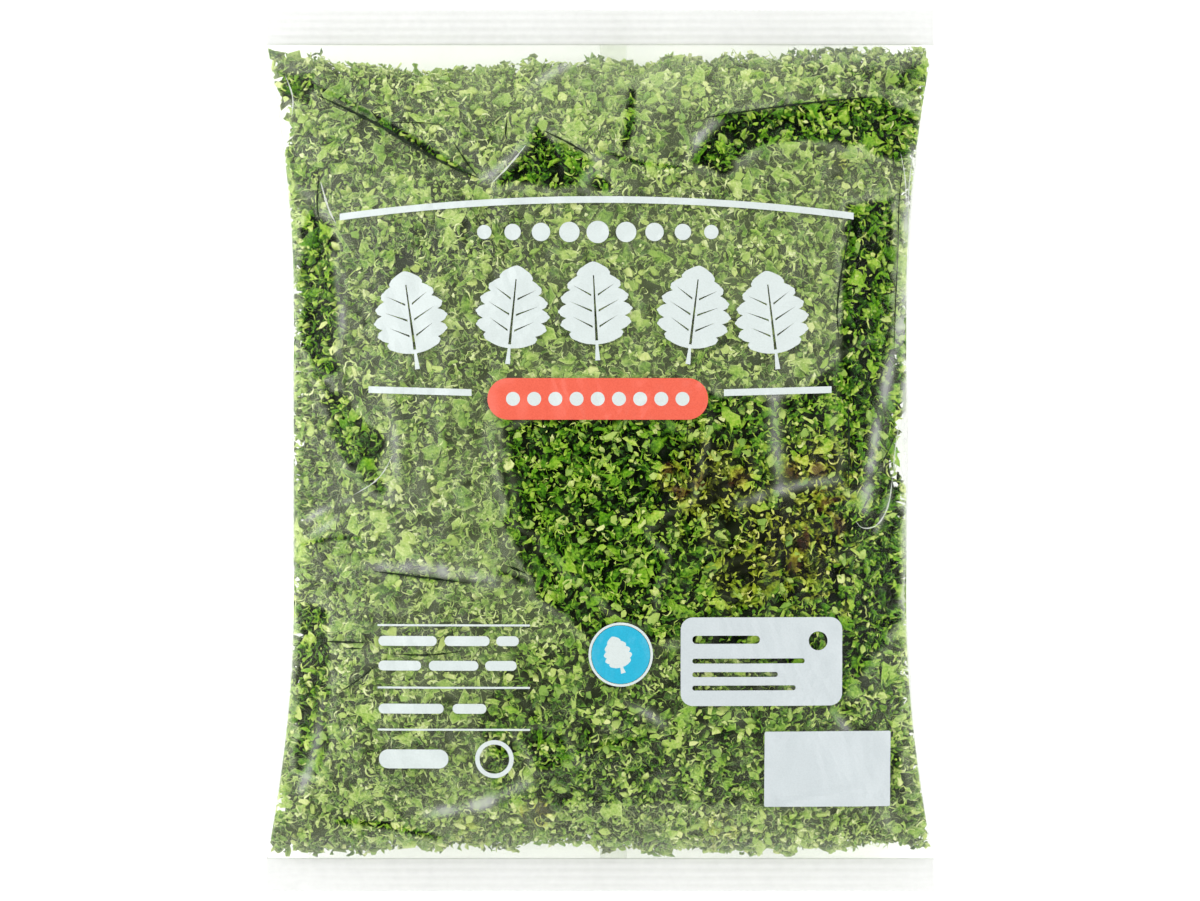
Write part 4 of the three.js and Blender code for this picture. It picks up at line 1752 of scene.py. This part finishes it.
        # The outermost pieces are pushed into the side folds, so that the film there is filled.
        out = ease(np.abs(x), limit - self.side_band[0], limit - self.side_band[1])
        out = out * ease(form.from_seal(y), 4.0, 20.0)
        filled = np.clip(1.0 - self.shortfall(x, y) / self.side_gap, 0.0, 1.0)
        x = x + np.sign(x) * self.side_push * out * filled
        x = np.clip(x, -limit, limit)
        own = self.gap + self.own_depth * np.abs(tint)
        high = bag.front_z(x, y) - own
        low = bag.back_z(x, y) + own
        middle = (high + low) / 2.0
        high = np.maximum(high, middle + 0.03)
        low = np.minimum(low, middle - 0.03)
        over, under = np.maximum(0.0, z - high), np.maximum(0.0, low - z)
        z = np.where(over > 0.0, high - self.pressed * (1.0 - np.exp(-over)), z)
        z = np.where(under > 0.0, low + self.pressed * (1.0 - np.exp(-under)), z)
        return np.column_stack((x, y, z))

    def mark(self, made: Piece) -> None:
        """Darkens what lies deep as painted shade, and stores where the kale is wet and where it has
        turned.
        """
        x, y, z = points_of(made).T
        depth = np.minimum(self.bag.front_z(x, y) - z, z - self.bag.back_z(x, y))
        # Painted shade: pieces deeper under the film get darker, except near the heap's ends.
        deep = ease(depth, 0.7, 4.2) * ease(self.from_ends(x, y), 1.0, 10.0)
        tint = get_attribute(made, "tint") - self.painted_depth_shade * deep
        tint = tint + WaveField(30, 90, 0.06, seed=37)(x, y)
        made.data.attributes["tint"].data.foreach_set("value", tint.astype(np.float32))
        front = ease(z - self.bag.form.fold_height(y), -1.0, 2.0)
        set_attribute(made, "wet", self.bag.cling(x, y) * front)
        stain = WaveField(5, 12, 1.0, seed=90)(x, y)
        red = np.zeros(len(x))
        for spot_x, spot_y, radius, strength in BLUSHES:
            near = 1.0 - np.hypot(x - spot_x, y - spot_y) / radius
            red = np.maximum(red, strength * ease(near + 0.3 * stain, 0.0, 0.7))
        set_attribute(made, "blush", red * front)


# Print


def circle(x: float, y: float, radius: float, points: int = 40) -> Outline:
    """A round outline."""
    turns = [2.0 * math.pi * i / points for i in range(points)]
    return [(x + radius * math.cos(t), y + radius * math.sin(t)) for t in turns]


def rounded_box(x: float, y: float, width: float, height: float, radius: float) -> Outline:
    """A box with rounded corners, about its middle."""
    outline = []
    for corner in range(4):
        turn = corner * math.pi / 2.0
        sign_x = 1 if corner in (0, 3) else -1
        sign_y = 1 if corner < 2 else -1
        for i in range(9):
            a = turn + i * math.pi / 16.0
            outline.append(
                (
                    x + sign_x * (width / 2.0 - radius) + radius * math.cos(a),
                    y + sign_y * (height / 2.0 - radius) + radius * math.sin(a),
                )
            )
    return outline


def stripe(start: float, end: float, rise: Callable[[float], float], thickness: float) -> Outline:
    """A stripe across the bag whose middle line follows a rule."""
    steps = max(2, int(abs(end - start) / 2.0))
    xs = [mix(start, end, i / steps) for i in range(steps + 1)]
    half = thickness / 2.0
    low = [(x, rise(x) - half) for x in xs]
    return low + [(x, rise(x) + half) for x in reversed(xs)]


def turned(outline: Outline, x: float, y: float, angle: float) -> Outline:
    """An outline turned about the origin and then moved."""
    c, s = math.cos(angle), math.sin(angle)
    return [(x + a * c - b * s, y + a * s + b * c) for a, b in outline]


def leaf_outline(length: float, width: float, frills: float, depth: float) -> Outline:
    """A curly leaf, its stalk at the origin and its tip up."""
    steps = 90
    stalk = 0.16 * length
    sides = []
    for i in range(steps + 1):
        along = i / steps
        body = math.sin(math.pi * along**0.74) ** 0.62
        # Round lobes with sharp notches between them, and smaller ones on each.
        frill = 1.0 + depth * (2.0 * abs(math.sin(math.pi * frills * along)) - 1.0)
        frill += 0.3 * depth * abs(math.sin(3.0 * math.pi * frills * along))
        sides.append((0.5 * width * body * frill + 0.6 * (1.0 - along), stalk + (length - stalk) * along))
    right = [(1.1, 0.0)] + sides
    return right + [(-a, b) for a, b in reversed(right)]


def leaf_veins(length: float, width: float) -> list[Outline]:
    """The midrib and side veins that are left out of a printed leaf."""
    veins = [[(-0.6, 0.2 * length), (0.6, 0.2 * length), (0.25, 0.86 * length), (-0.25, 0.86 * length)]]
    for place, reach in ((0.34, 0.27), (0.5, 0.31), (0.66, 0.25)):
        for sign in (-1.0, 1.0):
            root_x, root_y = sign * 1.5, place * length
            tip_x, tip_y = sign * (1.5 + reach * width), (place + 0.11) * length
            vein = [(root_x, root_y - 0.45), (tip_x, tip_y), (root_x, root_y + 0.45)]
            veins.append(vein if sign > 0.0 else vein[::-1])
    return veins


def in_short_steps(outline: Outline, step: float) -> Array:
    """An outline with more points on its long edges, so that it can follow the film."""
    corners = np.asarray(outline, float)
    points = []
    for a, b in zip(corners, np.roll(corners, -1, axis=0)):
        count = max(1, math.ceil(float(np.hypot(*(b - a))) / step))
        points += [mix(a, b, i / count) for i in range(count)]
    return np.array(points)


@dataclass
class Printing:
    """The ink on the front of the film. Every motif is plain and generic."""

    bag: Bag
    top_over: float = 0.4
    low_over: float = 0.2
    spacing: float = 1.6

    def build(self) -> None:
        """Builds and dresses every printed motif."""
        finishes = {slot: ink.build() for slot, ink in INKS.items()}
        pale_grey = PANEL_INK.build()
        motifs = (
            ("title_stripe", Slot.WHITE, self.title_stripe()),
            ("title_dots", Slot.WHITE, self.title_dots()), ("leaf_row", Slot.WHITE, self.leaf_row()),
            ("side_stripes", Slot.WHITE, self.side_stripes()),
            ("coral_capsule", Slot.CORAL, [rounded_box(-1.0, 22.9, 98, 18.5, 9.2)] + self.pips()),
            ("capsule_pips", Slot.WHITE, self.pips()), ("lower_rules", Slot.WHITE, self.lower_rules()),
            ("badge", Slot.BLUE, [circle(9.2, -90.6, 13.0, 56)] + self.badge_leaf()),
            ("badge_leaf", Slot.WHITE, self.badge_leaf()), ("badge_rim", Slot.WHITE, self.badge_rim()),
        )
        for name, slot, outlines in motifs:
            dress(self.ink(name, outlines), finishes[slot], "film_bag")
        for name, outlines in (("pale_panel", self.pale_panel()), ("bare_panel", self.bare_panel())):
            dress(self.ink(name, outlines), pale_grey, "film_bag")

    def title_stripe(self) -> list[Outline]:
        """A gently arched stripe over the other motifs."""
        return [stripe(-116, 113, lambda x: 111.5 - 7.5 * (x / 116.0) ** 2, 3.0)]

    def title_dots(self) -> list[Outline]:
        """A row of round dots, larger towards its middle."""
        return [circle(12.6 * i - 1.0, 97.0, 5.0 - 0.45 * abs(i), 32) for i in range(-4, 5)]

    def leaf_row(self) -> list[Outline]:
        """Five curly leaves, each leaning a little its own way."""
        outlines = []
        for i, lean in enumerate((0.14, -0.1, 0.05, -0.12, 0.12)):
            x, y = -81.0 + 40.0 * i, 38.0 + 2.0 * math.cos(1.4 * (i - 2))
            outlines.append(turned(leaf_outline(44, 28.5, 6.0, 0.11), x, y, lean))
            outlines += [turned(vein, x, y, lean) for vein in leaf_veins(44, 31.5)]
        return outlines

    def side_stripes(self) -> list[Outline]:
        """The stripes on both sides of the capsule."""
        return [
            stripe(-103, -57, lambda x: 24 - 0.03 * x, 3.0),
            stripe(55, 103, lambda x: 24 + 0.03 * x, 3.0),
        ]

    def pips(self) -> list[Outline]:
        """The row of white pips in the capsule."""
        return [circle(9.4 * i - 1.0, 22.9, 3.1, 28) for i in range(-4, 5)]

    def lower_rules(self) -> list[Outline]:
        """Thin rules with plain bars between them, and below them a thick bar and a ring."""
        rules = [rounded_box(-65, y, 68, 0.9, 0.4) for y in (-77.6, -105.4, -124.2)]
        bars = [
            rounded_box(x, y, width, 4.4, 2.1)
            for x, y, width in (
                (-85.5, -84.6, 26), (-59, -84.6, 20), (-41, -84.6, 10), (-89, -95.6, 19),
                (-65, -95.6, 22), (-44, -95.6, 14), (-84, -114.8, 29), (-58, -114.8, 15),
            )
        ]
        thick_bar = [rounded_box(-83, -137.4, 31, 8.6, 4.2)]
        ring = [circle(-47, -137.4, 8.6), circle(-47, -137.4, 6.6)]
        return rules + bars + thick_bar + ring

    def badge_leaf(self) -> list[Outline]:
        """The small white leaf in the badge."""
        return [turned(leaf_outline(17, 10.5, 5.0, 0.1), 10.4, -98.8, 0.3)]

    def badge_rim(self) -> list[Outline]:
        """The thin rim round the badge."""
        return [circle(9.2, -90.6, 14.3, 56), circle(9.2, -90.6, 13.2, 56)]

    def pale_panel(self) -> list[Outline]:
        """A rounded panel with plain bars left out of the ink."""
        holes = [
            rounded_box(56.0, -84.0, 30, 3.6, 1.7), rounded_box(66.0, -93.5, 50, 2.2, 1.0),
            rounded_box(60.0, -99.5, 38, 2.2, 1.0), rounded_box(64.0, -105.5, 46, 2.2, 1.0),
            circle(97.0, -84.6, 4.2, 32),
        ]
        return [rounded_box(71.8, -93.8, 72, 39.5, 5.5)] + holes

    def bare_panel(self) -> list[Outline]:
        """The bare panel at the lower right."""
        return [rounded_box(101.5, -142.1, 56.5, 34, 0.8)]

    def ink(self, name: str, outlines: list[Outline]) -> Piece:
        """Builds a thin closed layer of ink that follows the film.

        Args:
            name: The piece's name.
            outlines: Its outlines, in mm. One inside another is left out of the ink.

        Returns:
            The layer.
        """
        corners = [in_short_steps(outline, self.spacing) for outline in outlines]
        edges, start = [], 0
        for outline in corners:
            count = len(outline)
            edges += [(start + i, start + (i + 1) % count) for i in range(count)]
            start += count
        points = np.concatenate((*corners, self.inner_points(corners)))
        made = delaunay_2d_cdt([Vector(p) for p in points.tolist()], edges, [], 0, 1e-5)
        flat = np.array([tuple(v) for v in made[0]])
        triangles = np.array([f for f in made[2] if len(f) == 3])
        middle = flat[triangles].mean(axis=1)
        triangles = triangles[self.inside(middle[:, 0], middle[:, 1], corners)]
        return self.thicken(name, flat, triangles)

    def inner_points(self, outlines: list[Array]) -> Array:
        """Evenly spaced points inside the outlines, clear of them."""
        every = np.concatenate(outlines)
        low, high = every.min(axis=0), every.max(axis=0)
        xs, ys = np.meshgrid(
            np.arange(low[0], high[0], self.spacing), np.arange(low[1], high[1], self.spacing)
        )
        xs = xs + 0.5 * self.spacing * (np.arange(len(xs)) % 2)[:, None]
        x, y = xs.ravel(), ys.ravel()
        keep = self.inside(x, y, outlines)
        for outline in outlines:
            keep &= np.abs(distance_to_outline(x, y, outline)) > 0.4 * self.spacing
        return np.column_stack((x[keep], y[keep]))

    @staticmethod
    def inside(x: Array, y: Array, outlines: list[Array]) -> Array:
        """True where a point is inside an odd number of the outlines."""
        found = np.zeros(x.shape, bool)
        for outline in outlines:
            found ^= distance_to_outline(x, y, outline) > 0.0
        return found

    def thicken(self, name: str, flat: Array, triangles: Array) -> Piece:
        """Lays flat triangles just over the film as a thin closed solid.

        Args:
            name: The piece's name.
            flat: Places of the points across and along the bag, in mm.
            triangles: Three point numbers for each triangle.

        Returns:
            The layer of ink.
        """
        used = np.unique(triangles)
        places = np.full(len(flat), -1)
        places[used] = np.arange(len(used))
        flat, triangles = flat[used], places[triangles]
        a, b, c = (flat[triangles[:, k]] for k in range(3))
        turn = (b[:, 0] - a[:, 0]) * (c[:, 1] - a[:, 1]) - (b[:, 1] - a[:, 1]) * (c[:, 0] - a[:, 0])
        triangles[turn < 0.0] = triangles[turn < 0.0][:, ::-1]
        level = self.bag.front_z(flat[:, 0], flat[:, 1])
        top = np.column_stack((flat, level + self.top_over))
        low = np.column_stack((flat, level + self.low_over))
        count = len(flat)
        faces = [tuple(f) for f in triangles] + [tuple(f[::-1] + count) for f in triangles]
        directed = {(f[k], f[(k + 1) % 3]) for f in triangles.tolist() for k in range(3)}
        for a, b in sorted(directed):
            if (b, a) not in directed:
                faces.append((a, a + count, b + count, b))
        made = mesh_object(name, np.concatenate((top, low)), faces)
        return made


# Studio


@dataclass(frozen=True)
class Studio:
    """A plain white table under soft light, with the camera straight above."""

    frame_width: float = 538.1
    outline_height: float = 0.018
    camera_height: float = 4.0
    sensor: float = 36.0
    floor_drop: float = 0.4
    floor_size: float = 4.0
    bright_to: float = 62.0
    dark_from: float = 34.0

    def build(self) -> None:
        """Builds the floor, the lights, the world and the camera."""
        self.floor()
        self.soft_light("key_light", (-1.45, 0.55, 1.5), 2.3, 35.0)
        self.soft_light("fill_light", (1.5, -0.45, 1.45), 2.2, 21.5)
        self.world()
        self.camera()
        bpy.context.scene.view_settings.view_transform = "Standard"

    def floor(self) -> None:
        """Builds the pale table."""
        half, down = self.floor_size / 2.0 / MM, -self.floor_drop
        corners = [(-half, -half, down), (half, -half, down), (half, half, down), (-half, half, down)]
        made = mesh_object("pale_table", corners, [(0, 1, 2, 3)])
        material, tree = new_material("white_table")
        paint = add(tree, "ShaderNodeBsdfDiffuse", {"Color": linear("#F4F4F4")}).outputs["BSDF"]
        glow = add(
            tree, "ShaderNodeEmission", {"Color": linear("#FFFFFF"), "Strength": 0.4}
        ).outputs["Emission"]
        both = add(tree, "ShaderNodeAddShader", {0: paint, 1: glow}).outputs[0]
        add(tree, "ShaderNodeOutputMaterial", {"Surface": both})
        made.data.materials.append(material)

    @staticmethod
    def soft_light(name: str, place: tuple[float, float, float], size: float, watts: float) -> None:
        """Adds one large square light that faces the bag."""
        data = bpy.data.lights.new(name, "AREA")
        data.shape = "SQUARE"
        data.size = size
        data.energy = watts
        light = bpy.data.objects.new(name, data)
        light.location = place
        light.rotation_euler = (-Vector(place)).to_track_quat("-Z", "Y").to_euler()
        bpy.context.scene.collection.objects.link(light)

    def world(self) -> None:
        """Sets a white surround that darkens from one angle off the zenith to another."""
        world = bpy.data.worlds.new("soft_surround")
        world.use_nodes = True
        tree = world.node_tree
        tree.nodes.clear()
        way = add(tree, "ShaderNodeTexCoord").outputs["Generated"]
        up = add(tree, "ShaderNodeSeparateXYZ", {"Vector": way}).outputs["Z"]
        # The ceiling straight over the bag is dark, so that flat film shows the kale clear.
        strength = add(
            tree,
            "ShaderNodeMapRange",
            {
                "Value": up, "From Min": math.cos(math.radians(self.bright_to)),
                "From Max": math.cos(math.radians(self.dark_from)), "To Min": 1.6, "To Max": 0.05,
            },
        ).outputs["Result"]
        back = add(
            tree, "ShaderNodeBackground", {"Color": linear("#FFFFFF"), "Strength": strength}
        ).outputs[0]
        add(tree, "ShaderNodeOutputWorld", {"Surface": back})
        bpy.context.scene.world = world

    def camera(self) -> None:
        """Sets the camera straight above, its frame's width measured where the outline is."""
        data = bpy.data.cameras.new("front_camera")
        data.sensor_width = self.sensor
        data.lens = self.sensor * self.camera_height / (self.frame_width * MM)
        made = bpy.data.objects.new("front_camera", data)
        made.location = (0.0, 0.0, self.camera_height + self.outline_height)
        bpy.context.scene.collection.objects.link(made)
        bpy.context.scene.camera = made


def main() -> None:
    """Builds the bag, its kale, its print and the studio."""
    logging.basicConfig(level=logging.INFO, format="%(name)s: %(message)s")
    low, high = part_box("film_bag")
    size = (high - low) / MM
    bag = Bag(BagForm(flat_width=round(size.x, 1), length=round(size.y, 1)))
    Studio().build()
    FilmBag(bag).build()
    KaleHeap(bag).build()
    Printing(bag).build()


if __name__ == "__main__":
    main()
